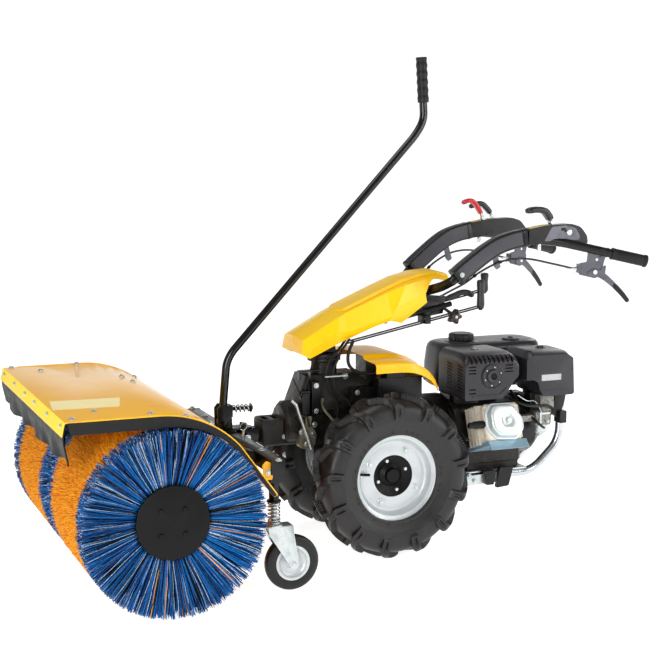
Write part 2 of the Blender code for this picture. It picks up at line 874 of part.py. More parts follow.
def recoil_housing():
    """Round starter cover on the flywheel side, with its cooling slots and its rope guide."""
    front = CASE_REAR + FIT
    body = turned(
        [
            (0.0, front),
            (RECOIL_RADIUS, front),
            (RECOIL_RADIUS, RECOIL_REAR - 0.030),
            (0.084, RECOIL_REAR - 0.010),
            (0.050, RECOIL_REAR),
            (0.0, RECOIL_REAR),
        ],
        (0, RECOIL_Y, CRANK_Z),
        "X",
        16,
        phase=4,
    )
    guide = block((RECOIL_REAR - 0.045, RECOIL_Y + 0.050, CRANK_Z + 0.050), (RECOIL_REAR, RECOIL_Y + 0.090, CRANK_Z + 0.090), 0.004)
    slots = []
    for n in range(6):
        angle = math.tau * n / 6
        slot = block((RECOIL_REAR - 0.024, RECOIL_Y - 0.004, CRANK_Z + 0.030), (RECOIL_REAR + 0.02, RECOIL_Y + 0.004, CRANK_Z + 0.070))
        slots.append(spun(slot, math.degrees(angle) + 18, "X", (0, RECOIL_Y, CRANK_Z)))
    return cut(fused(body, guide), *slots)


RECOIL_Y = 0.030


def recoil_handle():
    """T-handle resting on the rope guide."""
    x = RECOIL_REAR + FIT
    y = RECOIL_Y + 0.070
    z = CRANK_Z + 0.070
    stem = turned([(0.0, x), (0.007, x), (0.009, x + 0.020), (0.0, x + 0.020)], (0, y, z), "X", 12)
    bar = swept(
        [(x + 0.022, y, z - 0.036), (x + 0.025, y, z), (x + 0.022, y, z + 0.036)],
        rounded(0.016, 0.018, 0.006, 3),
    )
    return fused(stem, bar)


def engine_foot():
    """Folded bracket under the engine and the flat bar that the bumper is bolted to."""
    top = CASE_BOTTOM - 0.012 - FIT
    plate = block((0.315, -0.085, top - 0.006), (0.545, 0.120, top), 0.001)
    bar_top = top - 0.003
    side = prism(
        [(0.300, 0.168), (0.520, 0.168), (0.520, bar_top), (0.300, bar_top)], -0.045, 0.045, "Y"
    )
    arms = prism(
        [(0.300, 0.158), (BUMPER_START - FIT, 0.165), (BUMPER_START - FIT, 0.197), (0.300, 0.190)],
        -BUMPER_Y - 0.028,
        BUMPER_Y + 0.028,
        "Y",
    )
    lug = prism([(0.200, 0.212), (0.320, 0.196), (0.320, 0.172), (0.200, 0.176)], -0.035, 0.035, "Y")
    return fused(plate, side, arms, lug)


def bumper():
    """Bent tube from the engine bracket round the back of the engine."""
    low = 0.181
    corners = [
        (BUMPER_START, -BUMPER_Y, low),
        (0.575, -BUMPER_Y, low),
        (0.676, -BUMPER_Y, 0.275),
        (0.684, -BUMPER_Y, 0.500),
        (0.684, BUMPER_Y, 0.500),
        (0.676, BUMPER_Y, 0.275),
        (0.575, BUMPER_Y, low),
        (BUMPER_START, BUMPER_Y, low),
    ]
    return swept(bent(corners, 0.045, 2), circle(BUMPER_RADIUS, 8))


def build_tractor(root):
    node("gearbox_case", gearbox(), "cast_iron", root)
    node("fender_cover", fender(), "yellow", root)
    node("crankcase", crankcase(), "cast_iron", root)
    node("cylinder_head", cylinder_head(), "aluminium", root)
    node("valve_cover", valve_cover(), "zinc", root)
    node("muffler_guard", muffler_guard(), "dark_plastic", root)
    node("air_cleaner", air_cleaner(), "dark_plastic", root)
    node("carburettor", carburettor(), "zinc", root)
    node("fuel_tank", fuel_tank(), "dark_plastic", root)
    node("recoil_housing", recoil_housing(), "dark_plastic", root)
    node("engine_foot", engine_foot(), "black_steel", root)
    node("bumper_bar", bumper(), "zinc", root)
    node("fuel_cap", fuel_cap(), "dark_plastic", carrier("cap_axis", (CAP_X, CAP_Y, TANK_TOP), root))
    handle = carrier("recoil_axis", (RECOIL_REAR, RECOIL_Y + 0.070, CRANK_Z + 0.070), root)
    node("recoil_handle", recoil_handle(), "dark_plastic", handle)


# Brush unit


def hood_path():
    """The sheet's line from the front edge, over the flat top and the bend, to the rear edge."""
    points = [(HOOD_FRONT, HOOD_TOP), (HOOD_FLAT_END, HOOD_TOP)]
    for i in range(1, 7):
        angle = HOOD_BEND_ANGLE * i / 6
        x = HOOD_FLAT_END + HOOD_BEND_RADIUS * math.sin(angle)
        z = HOOD_TOP - HOOD_BEND_RADIUS * (1 - math.cos(angle))
        points.append((x, z))
    x, z = points[-1]
    x += HOOD_REAR_LENGTH * math.cos(HOOD_REAR_SLOPE)
    z -= HOOD_REAR_LENGTH * math.sin(HOOD_REAR_SLOPE)
    return points + [(x, z)]


def beside(points, distances):
    """The line moved to its right-hand side by a distance at each point."""
    moved = []
    for i, (x, z) in enumerate(points):
        x0, z0 = points[max(i - 1, 0)]
        x1, z1 = points[min(i + 1, len(points) - 1)]
        along = Vector((x1 - x0, z1 - z0)).normalized()
        moved.append((x + along.y * distances[i], z - along.x * distances[i]))
    return moved


def hood():
    """Bent sheet with its front lip and a flange under each side edge."""
    low = BRUSH_OFFSET - HOOD_HALF_WIDTH
    high = BRUSH_OFFSET + HOOD_HALF_WIDTH
    line = hood_path()
    whole = [(HOOD_FRONT - LIP_LEAN, HOOD_TOP - LIP_DROP)] + line
    below = beside(whole, [HOOD_SHEET, HOOD_SHEET * 1.4] + [HOOD_SHEET] * (len(line) - 1))
    sheet = prism(whole + below[::-1], low + 0.001, high - 0.001, "Y")
    taper = [FLANGE_DEPTH, FLANGE_DEPTH]
    bends = len(line) - 3
    taper += [FLANGE_DEPTH + (0.008 - FLANGE_DEPTH) * (i + 1) / bends for i in range(bends)]
    taper += [0.008]
    (x0, z0), (x1, z1) = line[-2:]
    last = (x0 + 0.985 * (x1 - x0), z0 + 0.985 * (z1 - z0))
    flange_line = [(HOOD_FRONT + 0.024, HOOD_TOP)] + line[1:-1] + [last]
    top = beside(flange_line, [HOOD_SHEET / 2] * len(line))
    bottom = beside(flange_line, [HOOD_SHEET + depth for depth in taper])
    side = prism(top + bottom[::-1], low, low + 0.003, "Y")
    other = prism(top + bottom[::-1], high - 0.003, high, "Y")
    notch = block((-0.540, BRUSH_OFFSET - 0.032, 0.260), (-0.440, BRUSH_OFFSET + 0.032, 0.352))
    return cut(fused(sheet, side, other), notch)


def rubber_flap():
    """Hanging rubber strip, clamped behind the lip and waving along its lower edge."""
    low = BRUSH_OFFSET - HOOD_HALF_WIDTH + 0.004
    high = BRUSH_OFFSET + HOOD_HALF_WIDTH - 0.004
    top = HOOD_TOP - HOOD_SHEET - 0.004
    lean = LIP_LEAN / LIP_DROP
    sections = []
    count = 18
    for i in range(count + 1):
        y = low + (high - low) * i / count
        wave = 0.007 * math.sin(math.tau * 4.5 * i / count)
        drop = 0.006 * math.sin(math.tau * 2.2 * i / count + 1.0)
        front = []
        for z, share in ((top, 0.0), (HOOD_TOP - LIP_DROP, 0.0), (0.475, 0.6), (FLAP_BOTTOM + drop, 1.0)):
            lip_x = HOOD_FRONT + HOOD_SHEET + FIT - lean * (HOOD_TOP - max(z, HOOD_TOP - LIP_DROP))
            front.append((lip_x + share * (0.009 + wave), z))
        back = [(x + FLAP_THICKNESS, z) for x, z in front[::-1]]
        sections.append([Vector((x, y, z)) for x, z in front + back])
    return lofted(sections)


def brush_frame():
    """Cross tube with caster tubes, hood gussets, swivel clevis, lever bracket and the drive arm."""
    middle = BRUSH_OFFSET
    top = CROSS_BOTTOM + CROSS_SIDE
    half = CROSS_SIDE / 2
    cross = block(
        (CROSS_X - half, middle - CASTER_REACH - 0.040, CROSS_BOTTOM),
        (CROSS_X + half, middle + CASTER_REACH + 0.040, top),
    )
    parts = []
    bores = []
    for side in (-1, 1):
        y = middle + side * CASTER_REACH
        parts.append(rod(CASTER_TUBE_RADIUS, (CROSS_X, y, CASTER_TUBE_BOTTOM + 0.003), (CROSS_X, y, 0.321), 10))
        parts.append(rod(SPRING_COIL + 0.004, (CROSS_X, y, CASTER_TUBE_BOTTOM), (CROSS_X, y, CASTER_TUBE_BOTTOM + 0.005), 10))
        parts.append(block((CROSS_X - 0.018, y - 0.024, 0.318), (CROSS_X + 0.022, y + 0.024, CROSS_BOTTOM + 0.002)))
        bore_top = CASTER_STEM_TOP + CASTER_TRAVEL + 0.003
        bores.append(rod(CASTER_STEM_RADIUS + RUNNING, (CROSS_X, y, 0.20), (CROSS_X, y, bore_top), 12))
        parts.append(gusset(middle + side * 0.250))
    arm = prism(
        [
            (-BRUSH_AHEAD, BRUSH_AXIS.z - 0.026),
            (CROSS_X - 0.060, BRUSH_AXIS.z - 0.034),
            (CROSS_X + half, BRUSH_AXIS.z + 0.010),
            (CROSS_X + half, CROSS_BOTTOM + 0.006),
            (CROSS_X - half, CROSS_BOTTOM + 0.006),
            (CROSS_X - half - 0.030, BRUSH_AXIS.z + 0.040),
            (-BRUSH_AHEAD, BRUSH_AXIS.z + 0.028),
        ],
        middle - GEARCASE_HALF + 0.006,
        middle + GEARCASE_HALF - 0.006,
        "Y",
    )
    case = turned(
        [
            (0.0, -GEARCASE_HALF),
            (GEARCASE_RADIUS - 0.006, -GEARCASE_HALF),
            (GEARCASE_RADIUS, -GEARCASE_HALF + 0.005),
            (GEARCASE_RADIUS, GEARCASE_HALF - 0.005),
            (GEARCASE_RADIUS - 0.006, GEARCASE_HALF),
            (0.0, GEARCASE_HALF),
        ],
        BRUSH_AXIS,
        "Y",
        16,
        phase=4,
    )
    hub = OUTPUT_SHAFT_RADIUS + RUNNING
    bores.append(rod(hub, BRUSH_AXIS - Vector((0, 0.1, 0)), BRUSH_AXIS + Vector((0, 0.1, 0)), ROLL_STEPS))
    gap = FIT
    hitch_top = HITCH_BOTTOM + HITCH_SIDE
    for low, high in ((HITCH_BOTTOM - gap - PLATE, HITCH_BOTTOM - gap), (hitch_top + gap, hitch_top + gap + PLATE)):
        tongue = [(CROSS_X - 0.006, -0.032), (SWIVEL_X, -0.028)]
        tongue += [(SWIVEL_X + 0.028 * math.sin(a), -0.028 * math.cos(a)) for a in (0.5, 1.1, 1.57, 2.04, 2.64)]
        tongue += [(SWIVEL_X, 0.028), (CROSS_X - 0.006, 0.032)]
        parts.append(prism(tongue, low, high, "Z"))
    riser = block((CROSS_X - 0.014, -0.034, top - 0.004), (CROSS_X + 0.010, 0.034, hitch_top + gap + PLATE - 0.001))
    root = block((CROSS_X - 0.016, -0.036, HITCH_BOTTOM - PLATE - 0.002), (CROSS_X + 0.014, 0.036, CROSS_BOTTOM + 0.004))
    pin_top = hitch_top + gap + PLATE + 0.012
    pin = rod(SWIVEL_PIN_RADIUS, (SWIVEL_X, 0, HITCH_BOTTOM - gap - PLATE - 0.010), (SWIVEL_X, 0, pin_top), 16)
    cheeks = []
    for side in (-1, 1):
        inner = side * (LEVER_RADIUS + 0.001)
        outer = side * (LEVER_RADIUS + 0.006)
        outline = [
            (CROSS_X - half + 0.002, 0.380),
            (CROSS_X + 0.008, 0.380),
            (CROSS_X + 0.006, 0.420),
            (-0.446, 0.462),
            (-0.478, 0.468),
            (-0.488, 0.455),
            (-0.486, 0.400),
            (-0.470, 0.386),
        ]
        cheeks.append(prism(outline, min(inner, outer), max(inner, outer), "Y"))
    lever_pin = rod(0.005, (LEVER_PIN[0], -0.0225, LEVER_PIN[1]), (LEVER_PIN[0], 0.0225, LEVER_PIN[1]), 12)
    strap = block((-0.4445, -0.019, 0.428), (-0.4395, 0.019, 0.464))
    guide = rod(0.006, (-0.442, 0, LEVER_SPRING_Z), (LEVER_SPRING_END + 0.008, 0, LEVER_SPRING_Z), 8)
    washer = turned(
        [(0.0, LEVER_SPRING_END), (0.014, LEVER_SPRING_END), (0.014, LEVER_SPRING_END + 0.003), (0.0, LEVER_SPRING_END + 0.003)],
        (0, 0, LEVER_SPRING_Z),
        "X",
        10,
        phase=7,
    )
    body = fused(cross, arm, case, riser, root, pin, lever_pin, strap, guide, washer, *parts, *cheeks)
    return cut(body, *bores)


LEVER_SPRING_Z = 0.450
LEVER_SPRING_END = -0.378
CASTER_STEM_TOP = 0.338


def gusset(y):
    """Bracket between the cross tube and the hood's rear slope."""
    line = hood_path()
    (x0, z0), (x1, z1) = line[-2:]
    along = Vector((x1 - x0, z1 - z0)).normalized()
    out = Vector((-along.y, along.x)) * FIT
    start = Vector((x0, z0)) + (Vector((x1, z1)) - Vector((x0, z0))) * 0.30 + out
    end = Vector((x0, z0)) + (Vector((x1, z1)) - Vector((x0, z0))) * 0.66 + out
    back = CROSS_X - CROSS_SIDE / 2 + 0.004
    outline = [tuple(start), (back, CROSS_BOTTOM + CROSS_SIDE - 0.004), (back, CROSS_BOTTOM + 0.004), tuple(end)]
    return prism(outline, y - 0.020, y + 0.020, "Y")


def hitch_tube():
    """Square tube from the tractor's socket to the swivel pin, its end rounded about the pin."""
    half = HITCH_SIDE / 2
    outline = [(HITCH_REAR, -half), (HITCH_REAR, half), (SWIVEL_X, half)]
    for n in range(1, 8):
        angle = math.pi * n / 8
        outline.append((SWIVEL_X - half * math.sin(angle), half * math.cos(angle)))
    outline.append((SWIVEL_X, -half))
    body = prism(outline, HITCH_BOTTOM, HITCH_BOTTOM + HITCH_SIDE, "Z")
    hole = rod(SWIVEL_PIN_RADIUS + FIT, (SWIVEL_X, 0, 0.3), (SWIVEL_X, 0, 0.45), 16)
    return cut(body, hole)


def brush_core(side):
    """Half of the roll's core: output shaft, core tube and end disc with its bolt heads."""
    start = GEARCASE_HALF + 0.004
    end = BRUSH_HALF_WIDTH
    profile = [
        (0.0, 0.0006),
        (OUTPUT_SHAFT_RADIUS, 0.0006),
        (OUTPUT_SHAFT_RADIUS, start),
        (CORE_RADIUS + 0.014, start),
        (CORE_RADIUS + 0.014, start + 0.004),
        (CORE_RADIUS, start + 0.004),
        (CORE_RADIUS, end - END_DISC_THICKNESS),
        (END_DISC_RADIUS, end - END_DISC_THICKNESS),
        (END_DISC_RADIUS, end - 0.0015),
        (END_DISC_RADIUS - 0.0015, end),
        (0.0, end),
    ]
    body = turned([(radius, side * along) for radius, along in profile], BRUSH_AXIS, "Y", ROLL_STEPS)
    bolts = []
    for x in (-1, 1):
        for z in (-1, 1):
            spot = BRUSH_AXIS + Vector((0.0335 * x, 0, 0.0335 * z))
            near = Vector((0, side * (end - 0.002), 0))
            far = Vector((0, side * (end + 0.005), 0))
            bolts.append(rod(0.0085, spot + near, spot + far, 6))
    return fused(body, *bolts)


def bristle_band(low, high, rows, per_row, flare, packed=False):
    """A wafer ring carrying rows of tapered strands, each leaning sideways by its row's flare.

    A packed band's strands stand on a drum, the depth where its filaments close up."""
    inner = CORE_RADIUS + FIT
    centre = Vector((BRUSH_AXIS.x, BRUSH_AXIS.y, BRUSH_AXIS.z))
    profile = [(inner, low), (WAFER_RADIUS, low), (WAFER_RADIUS, high), (inner, high)]
    steps = ROLL_STEPS
    root = WAFER_RADIUS
    if packed:
        near, far = (low, high) if high > 0 else (high, low)
        web = far - math.copysign(PACKED_WALL, far)
        bore = PACKED_RADIUS - PACKED_WALL
        profile = [(inner, near), (WAFER_RADIUS, near), (WAFER_RADIUS, web), (bore, web), (bore, near)]
        profile += [(PACKED_RADIUS, near), (PACKED_RADIUS, far), (inner, far)]
        steps = 2 * ROLL_STEPS
        root = PACKED_RADIUS
    wafer = turned(profile, centre, "Y", steps)
    bm = bmesh.new()
    for row in range(rows):
        share = (row + 0.5) / rows
        y = low + (high - low) * share
        for n in range(per_row):
            angle = math.tau * (n + 0.5 * (row % 2) + 0.13 * row) / per_row
            strand(bm, centre, angle, y, flare(share), root)
    return fused(wafer, solid(bm))


def strand(bm, centre, angle, y, lean, root):
    """One three-sided strand from inside its backing, of radius root, out to the roll's radius."""
    outward = Vector((math.cos(angle), 0, math.sin(angle)))
    around = Vector((-math.sin(angle), 0, math.cos(angle)))
    across = Vector((0, 1, 0))
    rings = []
    for radius, shift, width in ((root - 0.006, 0.0, 0.0050), (BRISTLE_RADIUS, lean, 0.0034)):
        middle = centre + outward * radius + across * (y + shift)
        ring = []
        for k in range(3):
            turn = math.tau * k / 3
            spot = middle + around * (width * math.cos(turn)) + across * (width * math.sin(turn))
            ring.append(bm.verts.new(spot))
        rings.append(ring)
    for k in range(3):
        j = (k + 1) % 3
        bm.faces.new((rings[0][k], rings[0][j], rings[1][j], rings[1][k]))
    bm.faces.new(rings[0])
    bm.faces.new(rings[1])


def build_roll(frame):
    roll = carrier("brush_axis", BRUSH_AXIS, frame)
    start = GEARCASE_HALF + 0.004 + 0.004 + FIT
    end = BRUSH_HALF_WIDTH - END_DISC_THICKNESS - FIT
    first = start + INNER_BAND
    last = end - END_BAND
    for side, word in ((-1, "left"), (1, "right")):
        node(f"brush_core_{word}", brush_core(side), "black_steel", roll)
        bands = (
            ("bristles_inner", start, first - FIT, 2, 14, "blue_bristle", lambda share: -0.022 * (1 - share)),
            ("bristles_main", first, last - FIT, 7, 11, "orange_bristle", lambda share: 0.0),
            ("bristles_end", last, end, 2, 24, "blue_bristle", lambda share: SPLAY * share),
        )
        for name, low, high, rows, per_row, look, flare in bands:
            packed = name == "bristles_main"
            if side > 0:
                band = bristle_band(low, high, rows, per_row, flare, packed)
            else:
                mirror = lambda share, flare=flare: -flare(1 - share)
                band = bristle_band(-high, -low, rows, per_row, mirror, packed)
            node(f"{name}_{word}", band, look, roll)


def coil(centre, radius, wire, length, turns, axis):
    """A spring: one unbroken tube wound by a formula, flat at neither end."""
    steps = 8 * turns
    run = length - 2 * wire
    path = []
    for i in range(steps + 1):
        angle = math.tau * i / 8
        along = wire + run * i / steps
        spot = Vector((radius * math.cos(angle), radius * math.sin(angle), along))
        path.append(AXES[axis] @ spot + Vector(centre))
    tube = swept(path, circle(wire, 6))
    return tube, path


def least_gap(path, wire):
    """The smallest free space between turns, measured from point to point along the tube."""
    points = np.array([tuple(point) for point in path])
    distance = np.linalg.norm(points[:, None] - points[None], axis=2)
    apart = np.abs(np.subtract.outer(np.arange(len(points)), np.arange(len(points)))) > 4
    return float(distance[apart].min() - 2 * wire)


def caster_stem(y):
    """Sliding stem with its spring seat, and the pivot that the fork turns on."""
    top = FORK_TOP
    return turned(
        [
            (0.0, top - 0.014),
            (0.007, top - 0.014),
            (0.007, top + FIT),
            (0.019, top + FIT),
            (0.019, top + 0.004),
            (0.012, top + 0.005),
            (CASTER_STEM_RADIUS, top + 0.006),
            (CASTER_STEM_RADIUS, CASTER_STEM_TOP),
            (0.0, CASTER_STEM_TOP),
        ],
        (CROSS_X, y, 0),
        "Z",
        12,
    )


def caster_fork(y):
    """Pressed fork: a round top plate, two tapering cheeks and the wheel's axle."""
    top = FORK_TOP
    inner = CASTER_WIDTH / 2 + 0.0035
    crown = turned(
        [
            (0.007 + RUNNING, top - 0.009),
            (0.0260, top - 0.009),
            (0.0260, top - 0.003),
            (0.022, top),
            (0.007 + RUNNING, top),
        ],
        (CROSS_X, y, 0),
        "Z",
        10,
        phase=11,
    )
    shelf = block(
        (CROSS_X - 0.023, y - inner - FORK_PLATE + 0.001, top - 0.012),
        (CROSS_X + 0.049, y + inner + FORK_PLATE - 0.001, top - 0.006),
    )
    hole = rod(0.0075 + RUNNING, (CROSS_X, y, top - 0.03), (CROSS_X, y, top + 0.01))
    axle_x = CROSS_X + CASTER_TRAIL
    cheeks = []
    for side in (-1, 1):
        outline = [
            (CROSS_X - 0.024, top - 0.008),
            (CROSS_X + 0.050, top - 0.008),
            (CROSS_X + 0.052, top - 0.030),
            (axle_x + 0.016, CASTER_RADIUS - 0.004),
            (axle_x + 0.008, CASTER_RADIUS - 0.014),
            (axle_x - 0.008, CASTER_RADIUS - 0.014),
            (axle_x - 0.016, CASTER_RADIUS),
            (CROSS_X - 0.020, top - 0.030),
        ]
        low = y + side * inner
        high = y + side * (inner + FORK_PLATE)
        cheeks.append(prism(outline, min(low, high), max(low, high), "Y"))
    reach = inner + FORK_PLATE + 0.005
    axle = rod(0.006, (axle_x, y - reach, CASTER_RADIUS), (axle_x, y + reach, CASTER_RADIUS), 8)
    return fused(cut(shelf, hole), crown, axle, *cheeks)


def caster_wheel(y):
    """Solid rubber tyre on a pressed wheel with a bored hub."""
    half = CASTER_WIDTH / 2
    bore = 0.006 + RUNNING
    profile = [
        (bore, -half - 0.003),
        (0.014, -half - 0.003),
        (0.042, -half + 0.007),
        (0.050, -half),
        (CASTER_RADIUS, -half + 0.008),
    ]
    profile += [(radius, -along) for radius, along in reversed(profile)]
    return turned(profile, (CROSS_X + CASTER_TRAIL, y, CASTER_RADIUS), "Y", 16)


def build_casters(frame):
    gaps = []
    for side, word in ((-1, "left"), (1, "right")):
        y = BRUSH_OFFSET + side * CASTER_REACH
        slide = carrier(f"caster_slide_{word}", (CROSS_X, y, CASTER_TUBE_BOTTOM), frame)
        swivel = carrier(f"caster_swivel_{word}", (CROSS_X, y, FORK_TOP), slide)
        axle = carrier(f"caster_axle_{word}", (CROSS_X + CASTER_TRAIL, y, CASTER_RADIUS), swivel)
        bottom = FORK_TOP + 0.004 + FIT
        length = CASTER_TUBE_BOTTOM - FIT - bottom
        spring, path = coil((CROSS_X, y, bottom), SPRING_COIL, SPRING_WIRE, length, CASTER_SPRING_TURNS, "Z")
        gaps.append(least_gap(path, SPRING_WIRE))
        node(f"caster_stem_{word}", caster_stem(y), "zinc", slide)
        node(f"caster_spring_{word}", spring, "zinc", slide)
        node(f"caster_fork_{word}", caster_fork(y), "zinc", swivel)
        node(f"caster_wheel_{word}", caster_wheel(y), "rubber", axle)
    return gaps


def angle_lever():
    """Bent tube from the bracket's pin up and back over the tractor."""
    corners = [
        (LEVER_PIN[0], 0, LEVER_PIN[1] - 0.018),
        (LEVER_PIN[0] + 0.004, 0, 0.470),
        (-0.453, 0, 0.590),
        (-0.437, 0, 0.622),
        (0.176, 0, 1.277),
        (LEVER_KNEE[0], 0, LEVER_KNEE[1]),
        (LEVER_TOP[0], 0, LEVER_TOP[1]),
    ]
    body = swept(bent(corners, 0.030, 2), circle(LEVER_RADIUS, 8))
    hole = rod(0.005 + RUNNING, (LEVER_PIN[0], -0.04, LEVER_PIN[1]), (LEVER_PIN[0], 0.04, LEVER_PIN[1]), 12)
    return cut(body, hole)


def lever_grip():
    """Rubber grip with five finger ridges on its front."""
    knee = Vector((LEVER_KNEE[0], 0, LEVER_KNEE[1]))
    end = Vector((LEVER_TOP[0], 0, LEVER_TOP[1]))
    way = (end - knee).normalized()
    bottom = end - way * 0.140
    top = end + way * 0.004
    path = []
    scale = []
    count = 8
    for i in range(count + 1):
        path.append(bottom + (top - bottom) * (i / count))
        size = 0.88 if i == count else 0.94 + 0.06 * (i % 2)
        scale.append((size, size))
    body = swept(path, circle(LEVER_GRIP_RADIUS, 10), scale)
    bore = rod(LEVER_RADIUS + FIT, bottom - way * 0.02, end + way * FIT, 8)
    return cut(body, bore)


def build_brush(root):
    frame = carrier("brush_swivel", (SWIVEL_X, 0, HITCH_BOTTOM), root)
    node("hitch_tube", hitch_tube(), "black_steel", root)
    node("brush_frame", brush_frame(), "black_steel", frame)
    node("hood", hood(), "yellow", frame)
    node("rubber_flap", rubber_flap(), "rubber", frame)
    build_roll(frame)
    gaps = build_casters(frame)
    tilt = carrier("angle_lever_axis", (LEVER_PIN[0], 0, LEVER_PIN[1]), frame)
    node("angle_lever", angle_lever(), "black_steel", tilt)
    node("lever_grip", lever_grip(), "rubber", tilt)
    start = -0.4350
    length = LEVER_SPRING_END - FIT - start
    spring, path = coil((start, 0, LEVER_SPRING_Z), 0.0112, 0.0022, length, LEVER_SPRING_TURNS, "X")
    gaps.append(least_gap(path, 0.0022))
    node("lever_spring", spring, "zinc", frame)
    print("least gap of each spring to itself, mm:", [round(1000 * gap, 2) for gap in gaps])


# Handlebars


def turret():
    """Swivel base with two ears that hold the tilt pin."""
    base = COLUMN_TOP + FIT
    disc = turned(
        [(0.0, base), (TURRET_RADIUS, base), (TURRET_RADIUS, base + 0.014), (0.030, base + 0.022), (0.0, base + 0.022)],
        (COLUMN_X, 0, 0),
        "Z",
        12,
        phase=3,
    )
    ears = []
    for side in (-1, 1):
        low = side * 0.026
        high = side * 0.034
        outline = [
            (TILT_X - 0.030, base + 0.006),
            (TILT_X + 0.030, base + 0.006),
            (TILT_X + 0.018, TILT_Z + 0.010),
            (TILT_X + 0.008, TILT_Z + 0.018),
            (TILT_X - 0.008, TILT_Z + 0.018),
            (TILT_X - 0.018, TILT_Z + 0.010),
        ]
        ears.append(prism(outline, min(low, high), max(low, high), "Y"))
    pin = rod(0.008, (TILT_X, -0.042, TILT_Z), (TILT_X, 0.042, TILT_Z), 12)
    return fused(disc, pin, *ears)


def yoke():
    """Handlebar beam on the tilt pin, its bent cross tube and the plate that guides the rods."""
    beam = prism(
        [
            (TILT_X - 0.014, TILT_Z - 0.010),
            (TILT_X + 0.012, TILT_Z - 0.014),
            (0.080, 0.735),
            (0.205, 0.772),
            (0.205, 0.804),
            BEAM_REAR,
            BEAM_FRONT,
        ],
        -0.0255,
        0.0255,
        "Y",
    )
    start, way = arm_start()
    half = [start - way * FIT, start - way * 0.012, Vector((0.212, -0.115, 0.8090)), Vector((0.194, -0.050, 0.7905))]
    half = half[:1] + smooth(half[1:], 2)
    path = half + [Vector((point.x, -point.y, point.z)) for point in half[::-1]]
    tube = swept(path, circle(YOKE_TUBE_RADIUS, 8))
    plate = prism(
        [(0.060, 0.748), (0.120, 0.755), (0.196, 0.778), (0.256, 0.772), (0.246, 0.718), (0.205, 0.712), (0.120, 0.728)],
        -0.060,
        -0.054,
        "Y",
    )
    spacer = block((0.120, -0.058, 0.745), (0.148, -0.020, 0.775))
    barrel = rod(0.0085, (0.110, -0.068, 0.7145), (0.270, -0.068, 0.748), 8)
    web = block((0.150, -0.072, 0.716), (0.196, -0.054, 0.736))
    eye = block((0.160, -0.113, 0.694), (0.178, -0.056, 0.720))
    rod_start, rod_end = ROD_LINE
    rod_hole = rod(ROD_RADIUS + RUNNING, rod_start, rod_end, 10)
    far_eye = block((0.100, -0.043, 0.712), (0.116, -0.020, 0.752))
    far_start, far_end = FAR_ROD_LINE
    far_hole = rod(ROD_RADIUS + RUNNING, far_start, far_end, 10)
    knob = star_knob()
    hole = rod(0.008 + RUNNING, (TILT_X, -0.1, TILT_Z), (TILT_X, 0.1, TILT_Z), 16)
    link = rod(0.005, (0.235, -0.068, 0.742), (0.278, -0.068, 0.713), 10)
    body = fused(beam, tube, plate, spacer, barrel, web, eye, far_eye, link, knob)
    return cut(body, hole, rod_hole, far_hole)


ROD_RADIUS = 0.0055
ROD_LINE = (Vector((-0.098, -0.103, 0.6500)), Vector((0.357, -0.103, 0.7400)))
FAR_ROD_LINE = (Vector((-0.060, -0.033, 0.6900)), Vector((0.408, -0.033, 0.7840)))


def star_knob():
    """Five-lobed clamp knob at the rear of the plate."""
    outline = []
    for n in range(10):
        angle = math.tau * n / 10
        radius = 0.0200 + 0.0040 * math.cos(5 * angle)
        outline.append((radius * math.cos(angle), radius * math.sin(angle)))
    sections = []
    for out, size in ((-0.090, 0.75), (-0.084, 1.0), (-0.070, 1.0), (-0.064, 0.5)):
        sections.append([Vector((0.278 + x * size, out, 0.708 + z * size)) for x, z in outline])
    return lofted(sections)


COVER_STATIONS = (
    # x, bottom, crease, top, half width at the bottom, half width at the crease
    (-0.310, 0.650, 0.668, 0.672, 0.052, 0.044),
    (-0.262, 0.624, 0.703, 0.709, 0.090, 0.080),
    (-0.206, 0.600, 0.726, 0.732, 0.093, 0.084),
    (-0.148, 0.636, 0.752, 0.758, 0.095, 0.086),
    (0.000, 0.690, 0.800, 0.812, 0.095, 0.084),
    (0.052, 0.704, 0.818, 0.832, 0.095, 0.082),
    (0.091, 0.696, 0.832, 0.846, 0.094, 0.080),
    (0.150, 0.735, 0.842, 0.858, 0.092, 0.078),
    (0.200, 0.770, 0.846, 0.864, 0.090, 0.074),
    (0.240, 0.800, 0.848, 0.862, 0.084, 0.066),
    (0.268, 0.824, 0.842, 0.850, 0.070, 0.052),
)
COVER_WALL = 0.0035
BEAM_FRONT = (TILT_X - 0.004, TILT_Z + 0.016)
BEAM_REAR = (0.060, 0.782)


def cover_section(x, bottom, crease, top, wide, narrow, wall):
    """Seven points round one cross section, drawn in by the wall for the inner face."""
    shoulder = crease - 0.010
    points = [
        (-wide, bottom),
        (-wide, (bottom + shoulder) / 2),
        (-(wide + narrow) / 2, shoulder),
        (-narrow + 0.012, top - wall),
        (narrow - 0.012, top - wall),
        ((wide + narrow) / 2, shoulder),
        (wide, (bottom + shoulder) / 2),
        (wide, bottom),
    ]
    return [Vector((x, y - math.copysign(wall, y), z)) for y, z in points]


